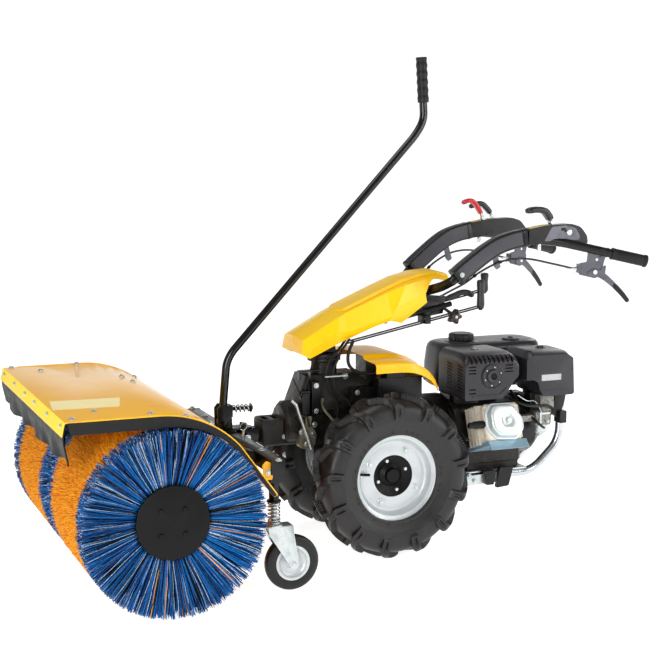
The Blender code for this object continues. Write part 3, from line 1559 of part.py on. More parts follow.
def handle_cover():
    """Moulded shell over the handlebar beam, open below and notched for the tubes."""
    outer = lofted([cover_section(*station, 0.0) for station in COVER_STATIONS])
    inner = []
    for i, (x, bottom, crease, top, wide, narrow) in enumerate(COVER_STATIONS):
        if i == 0:
            x += COVER_WALL
        inner.append(cover_section(x, bottom - 0.020, crease, top, wide, narrow, COVER_WALL))
    last = COVER_STATIONS[-1]
    inner.append(cover_section(last[0] + 0.02, last[1] - 0.02, *last[2:], COVER_WALL))
    notch = turned([(0.0, -0.2), (0.036, -0.2), (0.036, 0.2), (0.0, 0.2)], (0.208, 0, 0.800), "Y", 20)
    shell = cut(outer, lofted(inner), notch)
    hanger = prism([(0.020, 0.740), (0.058, 0.740), (0.058, 0.8325), (0.020, 0.8180)], -0.012, 0.012)
    return cut(fused(shell, hanger), yoke_clear())


def yoke_clear():
    """The room that the beam's top takes below the cover's hanger."""
    (x0, z0), (x1, z1) = BEAM_FRONT, BEAM_REAR
    rise = (z1 - z0) / (x1 - x0)
    front = (x0 + 0.050, z0 + 0.050 * rise + FIT)
    return prism([(front[0], 0.60), (0.100, 0.60), (0.100, z1 + 0.02), (x1, z1 + FIT), front], -0.030, 0.030, "Y")


def arm():
    """Box-section arm, curved up and back to the knee, on the left."""
    heights = (0.64, 0.76, 0.92, 1.0, 1.0, 1.0, 0.98)
    scale = [(0.80 + 0.20 * size, size) for size in heights]
    body = swept(ARM_LINE, rounded(0.040, 0.054, 0.008), scale)
    return cut(body, block((ARM_END, -0.30, 0.80), (ARM_END + 0.10, -0.05, 1.10)))


def arm_start():
    """The middle and the direction of the arm's lower end, which the yoke's tube meets."""
    first, second = (Vector(point) for point in ARM_LINE[:2])
    return first, (second - first).normalized()


def along_grip(share):
    start = Vector((GRIP_START[0], -GRIP_START[1], GRIP_START[2]))
    end = Vector((GRIP_END[0], -GRIP_END[1], GRIP_END[2]))
    return start + (end - start) * share


def handle_end():
    """Black end housing with the grip tube and the hand lever's bracket, on the left."""
    x0 = ARM_END + FIT
    body = prism(
        [
            (x0, 0.9345),
            (x0, 0.9865),
            (0.532, 0.9970),
            (0.619, 1.0000),
            (0.652, 0.9900),
            (0.676, 0.9620),
            (0.680, 0.9360),
            (0.654, 0.9340),
            (0.600, 0.9440),
            (0.540, 0.9440),
        ],
        -0.209,
        -0.167,
        "Y",
    )
    tube_path = [Vector((0.500, -0.190, 0.952)), along_grip(0.0), along_grip(1.0) - grip_way() * 0.004]
    tube = swept(bent(tube_path, 0.05, 2), circle(HANDLE_TUBE_RADIUS, 10))
    plate = prism(
        [
            (0.640, 0.840),
            (0.640, 0.876),
            (0.664, 0.880),
            (0.668, 0.918),
            (0.726, 0.906),
            (0.716, 0.864),
            (0.706, 0.834),
            (0.690, 0.828),
        ],
        -0.0020,
        0.0020,
        "Y",
    )
    tab = block((0.634, -0.0120, 0.846), (0.640, 0.0120, 0.874))
    pivot = rod(0.004, (0.690, -0.009, 0.848), (0.690, 0.009, 0.848), 10)
    bracket = beside_grip(fused(plate, tab, pivot))
    return fused(body, tube, bracket)


def grip_way():
    return (along_grip(1.0) - along_grip(0.0)).normalized()


def beside_grip(obj):
    """Turns a shape drawn in the plane y = 0 into the upright plane through the grip tube."""
    way = grip_way()
    angle = math.atan2(way.y, way.x)
    foot = along_grip(0.42)
    turn = Matrix.Rotation(angle, 4, "Z")
    obj.data.transform(Matrix.Translation((-foot.x, 0, 0)))
    obj.data.transform(Matrix.Translation((foot.x, foot.y, 0)) @ turn)
    return obj


def grip():
    """Ribbed rubber grip over the tube's end, on the left."""
    way = grip_way()
    end = along_grip(1.0)
    start = end - way * GRIP_LENGTH
    path = []
    scale = []
    rings = (0.0, 0.04, 0.06, 0.88, 0.92, 0.98, 1.0)
    sizes = (1.05, 1.05, 0.97, 0.97, 1.06, 1.06, 0.92)
    for share, size in zip(rings, sizes):
        path.append(start + (end - start) * share)
        scale.append((size, size))
    body = swept(path, circle(GRIP_RADIUS, 10), scale)
    bore = rod(HANDLE_TUBE_RADIUS + FIT, start - way * 0.02, end - way * (0.004 - FIT), 10)
    return cut(body, bore)


def brake_lever():
    """Curved hand lever under the grip, on the left."""
    path = [
        Vector((0.668, 0, 0.842)),
        Vector((0.690, 0, 0.846)),
        Vector((0.716, 0, 0.834)),
        Vector((0.745, 0, 0.812)),
        Vector((0.774, 0, 0.786)),
        Vector((0.800, 0, 0.752)),
    ]
    scale = [(1.0, 0.75), (1.0, 1.35), (1.0, 1.0), (1.0, 0.85), (1.0, 0.75), (1.0, 0.60)]
    blade = swept(path, rounded(0.013, 0.018, 0.003, 2), scale)
    slot = block((0.60, -0.0020 - RUNNING, 0.80), (0.7240, 0.0020 + RUNNING, 0.90))
    hole = rod(0.004 + RUNNING, (0.690, -0.02, 0.848), (0.690, 0.02, 0.848), 12)
    return beside_grip(cut(blade, slot, hole))


def paddle(foot, knuckle, tip, top_width, thick):
    """A moulded finger lever: a foot that turns on the housing, a stem and a flat paddle."""
    foot, knuckle, tip = Vector(foot), Vector(knuckle), Vector(tip)
    half = Vector((0, top_width * 0.32, 0))
    axle = rod(0.007, foot - half, foot + half, 10)
    stem = swept([foot, foot + (knuckle - foot) * 0.85], circle(0.0055, 6))
    path = smooth([foot + (knuckle - foot) * 0.55, knuckle, (knuckle + tip) / 2 + Vector((0, 0, 0.006)), tip], 2)
    sizes = (0.62, 0.80, 1.0, 1.0, 1.0, 0.95, 0.70)
    scale = [(size, size) for size in sizes]
    pad = swept(path, rounded(top_width, thick, thick * 0.42, 2), scale)
    return fused(axle, stem, pad)


LEVER_FOOT_Z = 0.9980 + FIT + 0.007


def upright_grip(centre, foot, height, radius):
    """A moulded vertical handle standing on the end of a rod."""
    profile = [
        (0.0, 0.0),
        (radius * 0.75, 0.0),
        (radius, height * 0.12),
        (radius * 0.92, height * 0.6),
        (radius * 1.05, height * 0.9),
        (radius * 0.8, height),
        (0.0, height),
    ]
    return turned(profile, (centre[0], centre[1], foot), "Z", 14)


def control_rod(line, height):
    """Long selector rod with its upright handle."""
    start, end = line
    way = (end - start).normalized()
    bar = rod(ROD_RADIUS, start, end + way * 0.004, 10)
    handle = upright_grip(end, end.z - 0.008, height, 0.0125)
    return fused(bar, handle)


def height_lever():
    """Bent grip that locks the handlebar height."""
    path = [
        (0.2580, -0.047, 0.7600),
        (0.284, -0.050, 0.7680),
        (0.312, -0.054, 0.7800),
        (0.334, -0.056, 0.7790),
        (0.356, -0.057, 0.7690),
    ]
    sizes = (0.60, 1.0, 0.92, 1.0, 0.85)
    grip_body = swept(path, rounded(0.018, 0.020, 0.007, 2), [(size, size) for size in sizes])
    boss = rod(0.011, (0.2480, -0.0537, 0.757), (0.2480, -0.0440, 0.757), 12)
    arm_bar = rod(0.0055, (0.2480, -0.0470, 0.757), (0.270, -0.048, 0.7630), 8)
    return fused(boss, arm_bar, grip_body)


def cable():
    """Sheathed cable from the hand lever's tab, under the arm, to the yoke, on the left."""
    tab = beside_grip(block((0.634, -0.001, 0.859), (0.640, 0.001, 0.861)))
    anchor = sum((vertex.co for vertex in tab.data.vertices), Vector()) / 8
    bpy.data.objects.remove(tab)
    way = grip_way()
    flat = Vector((way.x, way.y, 0)).normalized()
    begin = anchor - flat * (0.003 + 2 * FIT)
    corners = [
        begin,
        begin - flat * 0.014,
        Vector((0.560, -0.203, 0.875)),
        Vector((0.480, -0.190, 0.892)),
        Vector((0.420, -0.180, 0.8920)),
        Vector((0.372, -0.172, 0.8800)),
        Vector((0.320, -0.163, 0.8540)),
        Vector((0.276, -0.150, 0.8210)),
        Vector((0.240, -0.125, 0.7960)),
        Vector((0.205, -0.095, 0.7700)),
    ]
    return swept(corners[:1] + smooth(corners[1:], 3), circle(0.0035, 6))


def build_handles(root):
    swivel = carrier("handle_swivel", (COLUMN_X, 0, COLUMN_TOP), root)
    node("handle_turret", turret(), "cast_iron", swivel)
    tilt = carrier("handle_tilt", (TILT_X, 0, TILT_Z), swivel)
    node("handle_yoke", yoke(), "black_steel", tilt)
    node("handle_cover", handle_cover(), "yellow", tilt)
    both_sides("arm", arm(), "dark_plastic", tilt, tilt)
    both_sides("handle_end", handle_end(), "black_steel", tilt, tilt)
    both_sides("grip", grip(), "rubber", tilt, tilt)
    both_sides("cable", cable(), "rubber", tilt, tilt)
    spot = (0.556, -0.188, LEVER_FOOT_Z)
    shape = paddle(spot, (0.541, -0.188, 1.036), (0.466, -0.188, 1.040), 0.034, 0.020)
    node("clutch_lever", shape, "grey_plate", carrier("clutch_axis", spot, tilt))
    spot = (0.562, 0.204, 0.9982 + FIT + 0.007)
    shape = paddle(spot, (0.536, 0.204, 1.040), (0.476, 0.204, 1.036), 0.024, 0.018)
    node("throttle_lever", shape, "dark_plastic", carrier("throttle_axis", spot, tilt))
    spot = (0.512, 0.176, 0.9942 + FIT + 0.007)
    shape = paddle(spot, (0.484, 0.176, 1.052), (0.434, 0.176, 1.050), 0.026, 0.014)
    node("stop_lever", shape, "red", carrier("stop_axis", spot, tilt))
    left_pivot = brake_pivot()
    left = carrier("brake_axis_left", left_pivot, tilt)
    right = carrier("brake_axis_right", (left_pivot.x, -left_pivot.y, left_pivot.z), tilt)
    both_sides("brake_lever", brake_lever(), "black_steel", left, right)
    node("gear_rod", control_rod(ROD_LINE, 0.092), "grey_plate", carrier("gear_axis", ROD_LINE[1], tilt))
    node("drive_rod", control_rod(FAR_ROD_LINE, 0.062), "grey_plate", carrier("drive_axis", FAR_ROD_LINE[1], tilt))
    lock = carrier("height_axis", (0.248, -0.050, 0.757), tilt)
    node("height_lever", height_lever(), "grey_plate", lock)


def brake_pivot():
    way = grip_way()
    flat = Vector((way.x, way.y, 0)).normalized()
    foot = along_grip(0.42)
    spot = Vector((foot.x, foot.y, 0)) + flat * (0.690 - foot.x)
    return Vector((spot.x, spot.y, 0.848))


CENTRE_Z = TYRE_RADIUS


def main():
    clear_scene()
    root = bpy.data.objects.new("machine", None)
    bpy.context.scene.collection.objects.link(root)
    build_tractor(root)
    build_wheels(root)
    build_brush(root)
    build_handles(root)


main()
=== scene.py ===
"""Looks of a walk-behind two-wheel tractor with a front rotary brush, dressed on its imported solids.

Shapes are written in machine coordinates, in metres: x from the wheel axle, y from the tractor's
middle plane, z from the ground. The brush points to -x and the machine's left side is -y.
"""

import json

import bmesh
import bpy
import numpy as np
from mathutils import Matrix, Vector

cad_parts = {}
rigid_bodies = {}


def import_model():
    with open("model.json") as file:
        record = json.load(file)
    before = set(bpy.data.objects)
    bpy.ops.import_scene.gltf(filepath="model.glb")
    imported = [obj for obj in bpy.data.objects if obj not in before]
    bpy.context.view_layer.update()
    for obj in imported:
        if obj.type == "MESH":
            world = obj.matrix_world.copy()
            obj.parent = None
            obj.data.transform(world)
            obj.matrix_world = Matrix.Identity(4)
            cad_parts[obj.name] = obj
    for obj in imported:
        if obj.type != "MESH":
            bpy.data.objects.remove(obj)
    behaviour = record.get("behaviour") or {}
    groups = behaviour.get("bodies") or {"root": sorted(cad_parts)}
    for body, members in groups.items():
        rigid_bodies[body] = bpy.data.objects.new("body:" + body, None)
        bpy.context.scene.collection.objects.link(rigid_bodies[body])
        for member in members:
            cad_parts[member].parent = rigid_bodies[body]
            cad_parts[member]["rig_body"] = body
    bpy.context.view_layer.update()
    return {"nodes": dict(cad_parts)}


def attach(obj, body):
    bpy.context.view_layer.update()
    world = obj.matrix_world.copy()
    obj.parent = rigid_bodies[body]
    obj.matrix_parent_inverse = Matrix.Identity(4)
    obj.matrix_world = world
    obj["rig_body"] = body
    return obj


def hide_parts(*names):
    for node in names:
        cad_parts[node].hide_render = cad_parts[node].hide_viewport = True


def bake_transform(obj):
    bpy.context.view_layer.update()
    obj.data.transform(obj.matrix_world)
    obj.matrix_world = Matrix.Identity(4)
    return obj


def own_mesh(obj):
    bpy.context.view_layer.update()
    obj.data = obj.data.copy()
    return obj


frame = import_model()

# Camera, floor and light
# A product photograph on a white sweep, taken with a long lens from the left front just above the
# machine's middle; soft boxes by the camera and overhead leave pale streaks on the black tubes.
LENS_MM = 77.09
CAMERA_PLACE = (-1.658, -3.9656, 1.2636)
CAMERA_DOWN = np.radians(7.672)
CAMERA_ROUND = np.radians(22.145)
camera = bpy.data.objects.new("camera", bpy.data.cameras.new("camera"))
camera.data.lens = LENS_MM
camera.data.sensor_width = 36.0
camera.location = CAMERA_PLACE
camera.rotation_euler = (np.pi / 2 - CAMERA_DOWN, 0.0, -CAMERA_ROUND)
bpy.context.scene.collection.objects.link(camera)
bpy.context.scene.camera = camera
bpy.context.scene.view_settings.view_transform = "Standard"


def linear(code):
    """The linear colour of an sRGB hex code."""
    parts = np.array([int(code[i : i + 2], 16) for i in (1, 3, 5)]) / 255.0
    return (*np.where(parts <= 0.04045, parts / 12.92, ((parts + 0.055) / 1.055) ** 2.4), 1.0)


def add(tree, kind, inputs=None, **settings):
    """Adds a node: settings are its own properties, inputs are values or the sockets that feed them."""
    made = tree.nodes.new(kind)
    for key, value in settings.items():
        setattr(made, key, value)
    for key, value in (inputs or {}).items():
        if isinstance(value, bpy.types.NodeSocket):
            tree.links.new(value, made.inputs[key])
        else:
            made.inputs[key].default_value = value
    return made


def soft_box(name, place, target, size, power):
    """A rectangular lamp of the given size at a place, turned towards its target."""
    lamp = bpy.data.lights.new(name, "AREA")
    lamp.shape = "RECTANGLE"
    lamp.size, lamp.size_y = size
    lamp.energy = power
    obj = bpy.data.objects.new(name, lamp)
    obj.location = place
    obj.rotation_euler = (Vector(target) - Vector(place)).to_track_quat("-Z", "Y").to_euler()
    bpy.context.scene.collection.objects.link(obj)


soft_box("overhead_box", (-0.6, 0.4, 3.2), (-0.1, 0.0, 0.4), (2.4, 1.4), 27.0)
soft_box("camera_side_box", (-3.0, -3.4, 1.5), (-0.2, 0.0, 0.5), (1.3, 2.2), 92.0)
soft_box("rear_box", (3.0, -2.6, 1.5), (0.3, 0.0, 0.6), (0.7, 2.2), 40.0)
soft_box("far_box", (3.0, 2.4, 2.4), (0.3, 0.0, 0.6), (1.0, 1.6), 16.0)
# A small box to the right, whose reflection makes the flat side of the handlebar's cover pale.
soft_box("panel_box", (1.7, -3.6, 1.75), (0.15, 0.0, 0.75), (0.7, 0.7), 14.0)

# The sweep is white where the camera looks and the room is dim above and behind the camera, so dark
# paint keeps its depth and flat tops do not wash out.
world = bpy.data.worlds.new("studio")
world.use_nodes = True
room = world.node_tree
sky = add(room, "ShaderNodeTexCoord").outputs["Generated"]
facing = add(room, "ShaderNodeMapping", {"Vector": sky, "Rotation": (0.0, 0.0, CAMERA_ROUND)})
apart = add(room, "ShaderNodeSeparateXYZ", {"Vector": facing.outputs["Vector"]})
low = {"Value": apart.outputs["Z"], "From Min": 0.15, "From Max": 0.46, "To Min": 1.0, "To Max": 0.0}
ahead = {"Value": apart.outputs["Y"], "From Min": 0.05, "From Max": 0.45, "To Min": 0.0, "To Max": 1.0}
low = add(room, "ShaderNodeMapRange", low, interpolation_type="SMOOTHSTEP").outputs["Result"]
ahead = add(room, "ShaderNodeMapRange", ahead, interpolation_type="SMOOTHSTEP").outputs["Result"]
sweep_share = add(room, "ShaderNodeMath", {0: low, 1: ahead}, operation="MULTIPLY").outputs["Value"]
glow = add(room, "ShaderNodeMapRange", {"Value": sweep_share, "To Min": 0.3, "To Max": 1.06}).outputs["Result"]
room.links.new(glow, room.nodes["Background"].inputs["Strength"])
room.nodes["Background"].inputs["Color"].default_value = linear("#FFFFFF")
bpy.context.scene.world = world

FLOOR_REACH = 60.0
floor_mesh = bpy.data.meshes.new("floor")
corners = [(-FLOOR_REACH, -FLOOR_REACH, 0.0), (FLOOR_REACH, -FLOOR_REACH, 0.0)]
corners += [(FLOOR_REACH, FLOOR_REACH, 0.0), (-FLOOR_REACH, FLOOR_REACH, 0.0)]
floor_mesh.from_pydata(corners, [], [(0, 1, 2, 3)])
floor = bpy.data.objects.new("floor", floor_mesh)
bpy.context.scene.collection.objects.link(floor)
floor_paper = bpy.data.materials.new("white_paper_sweep")
floor_paper.use_nodes = True
paper = floor_paper.node_tree.nodes["Principled BSDF"].inputs
paper["Base Color"].default_value = linear("#EDEDED")
paper["Roughness"].default_value = 0.95
# The paper is lit from behind, as a white sweep is, so the shadows on it stay faint.
paper["Emission Color"].default_value = linear("#FFFFFF")
paper["Emission Strength"].default_value = 0.84
floor_mesh.materials.append(floor_paper)

# Drive wheels: tyres
# Two agricultural tyres of about 5.00-10 on ten-inch rims, moulded in black rubber with thirteen
# bars a side that meet in arrows; each bar ends on the shoulder in a block with a narrow slot.
MACHINE = np.array([0.099, 0.03, 0.0])
AXLE_HEIGHT = 0.252
WHEEL_MIDDLE = 0.211
BARS = 13


def curve(points, count):
    """Catmull-Rom line through the points, as count points spread evenly over its spans."""
    p = np.asarray(points, float)
    p = np.concatenate([2 * p[:1] - p[1:2], p, 2 * p[-1:] - p[-2:-1]])
    at = np.linspace(0, len(p) - 3, count)
    k = np.minimum(at.astype(int), len(p) - 4)
    t = (at - k)[:, None]
    a, b, c, d = p[k], p[k + 1], p[k + 2], p[k + 3]
    return 0.5 * (2 * b + (c - a) * t + (2 * a - 5 * b + 4 * c - d) * t**2 + (3 * b - a - 3 * c + d) * t**3)


def step(value, low, high):
    """Rises smoothly from 0 to 1 between low and high."""
    t = np.clip((value - low) / (high - low), 0, 1)
    return t * t * (3 - 2 * t)


def skin(grid, ring=False):
    """Quads over rows of points, each row closed round; the last row meets the first, or each end row is
    closed by a fan to its centre."""
    rows, columns, _ = grid.shape
    i, j = np.meshgrid(np.arange(rows if ring else rows - 1), np.arange(columns), indexing="ij")
    up, right = (i + 1) % rows, (j + 1) % columns
    quads = np.stack([i * columns + j, i * columns + right, up * columns + right, up * columns + j], -1)
    points, groups = grid.reshape(-1, 3), [quads.reshape(-1, 4)]
    if not ring:
        total = rows * columns
        points = np.concatenate([points, grid[0].mean(0)[None], grid[-1].mean(0)[None]])
        around = np.arange(columns)
        beside = (around + 1) % columns
        groups.append(np.stack([beside, around, np.full(columns, total)], -1))
        last = (rows - 1) * columns
        groups.append(np.stack([last + around, last + beside, np.full(columns, total + 1)], -1))
    return points, groups


def outward(shape):
    """The shape with its faces turned round if the volume they close in is negative."""
    points, groups = shape
    centre = points.mean(0)
    volume = 0.0
    for group in groups:
        first = points[group[:, 0]] - centre
        for k in range(1, group.shape[1] - 1):
            second, third = points[group[:, k]] - centre, points[group[:, k + 1]] - centre
            volume += np.einsum("ij,ij->i", first, np.cross(second, third)).sum()
    return (points, groups) if volume > 0 else (points, [group[:, ::-1] for group in groups])


def round_edges(made, width_mm, angle):
    """Rounds the edges that turn by more than the angle, or only marks them sharp where the width is 0."""
    if not width_mm:
        made.data.set_sharp_from_angle(angle=np.radians(angle))
        return
    edge = made.modifiers.new("rounded_edges", "BEVEL")
    edge.width = width_mm / 1000.0
    edge.segments = 2
    edge.limit_method = "ANGLE"
    edge.angle_limit = np.radians(angle)
    edge.harden_normals = True


def piece(name, shapes, material, body, nodes=(), bevel_mm=0.0, angle=35.0, extras=()):
    """One object from several closed shapes, set in the machine's place; it rides on its body, if it has
    one, and takes the place of the nodes. extras are pairs: numbers of shapes, and their own material."""
    loops, starts, owners, points, first, total = [], [], [], [], 0, 0
    for number, shape in enumerate(shapes):
        place, groups = outward(shape)
        points.append(place)
        for group in groups:
            loops.append((group + first).ravel())
            starts.append(total + np.arange(len(group)) * group.shape[1])
            owners.append(np.full(len(group), number))
            total += group.size
        first += len(place)
    points = np.concatenate(points) + MACHINE
    starts, owners = np.concatenate(starts), np.concatenate(owners)
    mesh = bpy.data.meshes.new(name)
    mesh.vertices.add(len(points))
    mesh.vertices.foreach_set("co", points.ravel())
    mesh.loops.add(total)
    mesh.loops.foreach_set("vertex_index", np.concatenate(loops))
    mesh.polygons.add(len(starts))
    mesh.polygons.foreach_set("loop_start", starts)
    mesh.materials.append(material)
    looks = np.zeros(len(owners), np.int32)
    for numbers, look in extras:
        mesh.materials.append(look)
        looks[np.isin(owners, list(numbers))] = len(mesh.materials) - 1
    mesh.polygons.foreach_set("material_index", looks)
    mesh.update(calc_edges=True)
    mesh.shade_smooth()
    made = bpy.data.objects.new(name, mesh)
    bpy.context.scene.collection.objects.link(made)
    round_edges(made, bevel_mm, angle)
    if body:
        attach(made, body)
    if nodes:
        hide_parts(*nodes)
    return made


def finish(name, colour, wear_and_painted_light_tone, patch_mm, roughness, spread, metallic=0.0, grain_mm=1.0, height_mm=0.0, cells=False,
           coat=0.0, start=0.5, gloss=0.5):
    """Colour drifts from its own tone to a second tone, which is wear, oil or dust in most finishes, painted shade
    in the shadowed filaments under the tips, painted highlights and shade in the filaments, and painted glints on
    the cable sheath; roughness drifts up by spread, with a soft noise of patch_mm that begins to show at start; a
    second noise, or cells, of grain_mm raises the surface by height_mm, drawn coarser than the real grain so that
    it shows; gloss is the specular level, lower for paint and rubber that are matt at every angle."""
    made = bpy.data.materials.new(name)
    made.use_nodes = True
    tree = made.node_tree
    shader = tree.nodes["Principled BSDF"]
    place = add(tree, "ShaderNodeTexCoord").outputs["Object"]
    noise = add(tree, "ShaderNodeTexNoise", {"Vector": place, "Scale": 1000.0 / patch_mm, "Detail": 4.0,
        "Roughness": 0.6})
    drift = noise.outputs["Fac"]
    spots = add(tree, "ShaderNodeMapRange", {"Value": drift, "From Min": start, "From Max": start + 0.22})
    tones = add(tree, "ShaderNodeValToRGB", {"Fac": spots.outputs["Result"]})
    tones.color_ramp.elements[0].color = linear(colour)
    tones.color_ramp.elements[1].color = linear(wear_and_painted_light_tone)
    tree.links.new(tones.outputs["Color"], shader.inputs["Base Color"])
    ends = {"Value": drift, "From Min": 0.3, "From Max": 0.7, "To Min": roughness, "To Max": roughness + spread}
    tree.links.new(add(tree, "ShaderNodeMapRange", ends).outputs["Result"], shader.inputs["Roughness"])
    shader.inputs["Metallic"].default_value = metallic
    shader.inputs["Coat Weight"].default_value = coat
    shader.inputs["Coat Roughness"].default_value = 0.06
    shader.inputs["Specular IOR Level"].default_value = gloss
    if height_mm:
        kind = "ShaderNodeTexVoronoi" if cells else "ShaderNodeTexNoise"
        grain = add(tree, kind, {"Vector": place, "Scale": 1000.0 / grain_mm})
        relief = grain.outputs["Distance" if cells else "Fac"]
        bump = add(tree, "ShaderNodeBump", {"Height": relief, "Distance": height_mm / 1000.0, "Strength": 1.0})
        tree.links.new(bump.outputs["Normal"], shader.inputs["Normal"])
    return made


# Tyre rubber: brownish black with a dry bloom between the bars, its moulding grain drawn 2 mm coarse.
tyre_rubber = finish("tyre_rubber", "#121010", "#221E1B", 35, 0.34, 0.18, grain_mm=2.0, height_mm=0.05)


def tyre(side):
    """Carcass line (radius, distance out) turned round the axle; on each side bars rise along its normal,
    their middle line leading round the wheel by 0.62 of a pitch from the shoulder to the crown."""
    half = curve(
        [(0.2352, 0.0), (0.235, 0.018), (0.231, 0.036), (0.2215, 0.05), (0.206, 0.0572), (0.188, 0.059),
         (0.17, 0.057), (0.154, 0.0515), (0.144, 0.0485), (0.137, 0.0485), (0.1315, 0.0462)], 42
    )
    line = np.concatenate([half[::-1] * (1, -1), half[1:]])
    run = np.concatenate([[0], np.linalg.norm(np.diff(line, axis=0), axis=1).cumsum()])
    run -= run[len(half) - 1]
    along = np.gradient(line, axis=0)
    normal = np.stack([along[:, 1], -along[:, 0]], 1) / np.linalg.norm(along, axis=1)[:, None]
    turn = np.linspace(0, 2 * np.pi, 72 * BARS, endpoint=False)[None]
    rise = np.zeros((len(line), turn.shape[1]))
    for way, phase in ((1, 0.0), (-1, 0.5)):
        out = (run * way)[:, None]
        lead = 0.62 * (1 - step(out, -0.01, 0.062))
        pitch = turn * BARS / (2 * np.pi) - lead - phase - 0.3
        off = np.abs(pitch - np.round(pitch)) * 2 * np.pi * line[:, :1] / BARS
        wide = np.interp(out, [-0.008, 0.03, 0.058, 0.095], [0.009, 0.0105, 0.015, 0.0135])
        tall = np.interp(out, [-0.008, 0.045, 0.058, 0.075, 0.095], [0.0165, 0.0165, 0.015, 0.01, 0.008])
        bar = step(wide - off, -0.0014, 0.0014) * step(out, -0.01, -0.006) * step(-out, -0.0965, -0.093)
        slot = step(0.0044 - off, -0.0012, 0.0012) * step(out, 0.059, 0.061) * step(-out, -0.087, -0.085)
        rise = np.maximum(rise, tall * bar - 0.0065 * slot * bar)
    # Two fine ribs and a groove run round each side wall, (height, distance from the crown, width).
    for tall, far, wide in ((0.0011, 0.1, 0.0016), (0.0008, 0.13, 0.0012), (-0.0008, 0.106, 0.0014)):
        rise += tall * np.exp(-(((np.abs(run) - far) / wide) ** 2))[:, None]
    radius = line[:, :1] + normal[:, :1] * rise
    out = line[:, 1:] + normal[:, 1:] * rise
    turn = np.broadcast_to(turn, radius.shape)
    grid = np.stack([radius * np.cos(turn), side * (WHEEL_MIDDLE + out), AXLE_HEIGHT + radius * np.sin(turn)], -1)
    return skin(grid, ring=True)


def sweep(path, section, scale=1.0, up=(0, 1, 0)):
    """A section carried along a path: its second direction stays as near to up as the path allows, and
    its size follows scale, one number or pair for each point of the path."""
    path, section = np.asarray(path, float), np.asarray(section, float)
    along = np.gradient(path, axis=0)
    along /= np.linalg.norm(along, axis=1)[:, None]
    across = np.cross(along, up)
    across /= np.linalg.norm(across, axis=1)[:, None]
    upward = np.cross(across, along)
    scale = np.asarray(scale, float)
    scale = np.broadcast_to(scale[:, None] if scale.ndim == 1 else scale, (len(path), 2))
    flat = section[None] * scale[:, None]
    grid = path[:, None] + flat[..., :1] * across[:, None] + flat[..., 1:] * upward[:, None]
    return skin(grid)


def circle(radius, count):
    """Points of a circle, evenly spaced."""
    turn = np.linspace(0, 2 * np.pi, count, endpoint=False)
    return radius * np.stack([np.cos(turn), np.sin(turn)], 1)


SIDES = ((-1, "left"), (1, "right"))
for side, word in SIDES:
    shapes = [tyre(side)]
    # Rubber hairs from the mould's vents, left standing on the bead and over the rim's edge.
    for n in range(26):
        turn = np.radians(14.0 * n + 6.0 * np.sin(5.0 * n))
        radii = np.array([0.147, 0.144, 0.139])
        out = WHEEL_MIDDLE + np.array([0.049, 0.052, 0.049 + 0.0015 * np.cos(3.0 * n)])
        lean = turn + np.array([0.0, 0.012, 0.035 * np.sin(2.0 * n)])
        hair = np.stack([radii * np.cos(lean), side * out, AXLE_HEIGHT + radii * np.sin(lean)], 1)
        shapes.append(sweep(curve(hair, 5), circle(0.0007, 4)))
    piece(f"lugged_tyre_{word}", shapes, tyre_rubber, f"wheel_{word}", [f"tyre_{word}"], angle=60)

# Drive wheels: rims
# Pressed steel rims in satin silver lacquer: a rolled edge, a drop centre, and a flat disc with a big
# centre hole, held by four zinc-plated bolts; the black hub of the axle shows through the hole.

# Lacquer half hides the metal under a faint cloudiness, zinc plate is bright with greyer patches, and the
# hub's iron is nearly black with oil.
silver_lacquer = finish("silver_lacquered_steel", "#C6CBCC", "#B9BFC1", 60, 0.34, 0.06, metallic=0.35, grain_mm=3.0,
    height_mm=0.004)
zinc_plate = finish("zinc_plated_steel", "#C8CFCE", "#B0B8B7", 30, 0.24, 0.1, metallic=0.85, grain_mm=2.0,
    height_mm=0.004)
hub_iron = finish("oiled_cast_iron", "#050505", "#100D0A", 14, 0.3, 0.25, grain_mm=2.5, height_mm=0.1, gloss=0.2)


def lathe(profile, centre, axis, count=64, ring=False):
    """A profile of (radius, distance along) pairs turned round an axis through the centre; ring says that
    the profile comes back to its start."""
    radius, along = np.asarray(profile, float).T[:, :, None]
    turn = np.linspace(0, 2 * np.pi, count, endpoint=False)[None]
    along = np.broadcast_to(along, (len(profile), count))
    order = {"X": (2, 0, 1), "Y": (0, 2, 1), "Z": (0, 1, 2)}[axis]
    parts = (radius * np.cos(turn), radius * np.sin(turn), along)
    return skin(np.stack([parts[k] for k in order], -1) + np.asarray(centre, float), ring)


def plate(outline, low, high, axis="Y"):
    """A flat outline given thickness from low to high along an axis."""
    flat = np.asarray(outline, float)
    rings = [np.insert(flat, "XYZ".index(axis), level, axis=1) for level in (low, high)]
    count = len(flat)
    here = np.arange(count)
    after = (here + 1) % count
    sides = np.stack([here, after, after + count, here + count], 1)
    return np.concatenate(rings), [sides, here[None, ::-1], (here + count)[None]]


def box(low, high):
    """A block between two corners."""
    (x0, y0, z0), (x1, y1, z1) = low, high
    return plate([(x0, y0), (x1, y0), (x1, y1), (x0, y1)], z0, z1, "Z")


def moved(shape, turn=None, centre=(0, 0, 0), by=(0, 0, 0)):
    """The shape turned by a 3 x 3 matrix about a centre, then moved."""
    points, groups = shape
    centre = np.asarray(centre, float)
    if turn is not None:
        points = (points - centre) @ np.asarray(turn).T + centre
    return points + np.asarray(by, float), groups


def about(axis, degrees):
    """The matrix of a turn about a main axis."""
    c, s = np.cos(np.radians(degrees)), np.sin(np.radians(degrees))
    return {
        "X": np.array([[1, 0, 0], [0, c, -s], [0, s, c]]),
        "Y": np.array([[c, 0, s], [0, 1, 0], [-s, 0, c]]),
        "Z": np.array([[c, -s, 0], [s, c, 0], [0, 0, 1]]),
    }[axis]


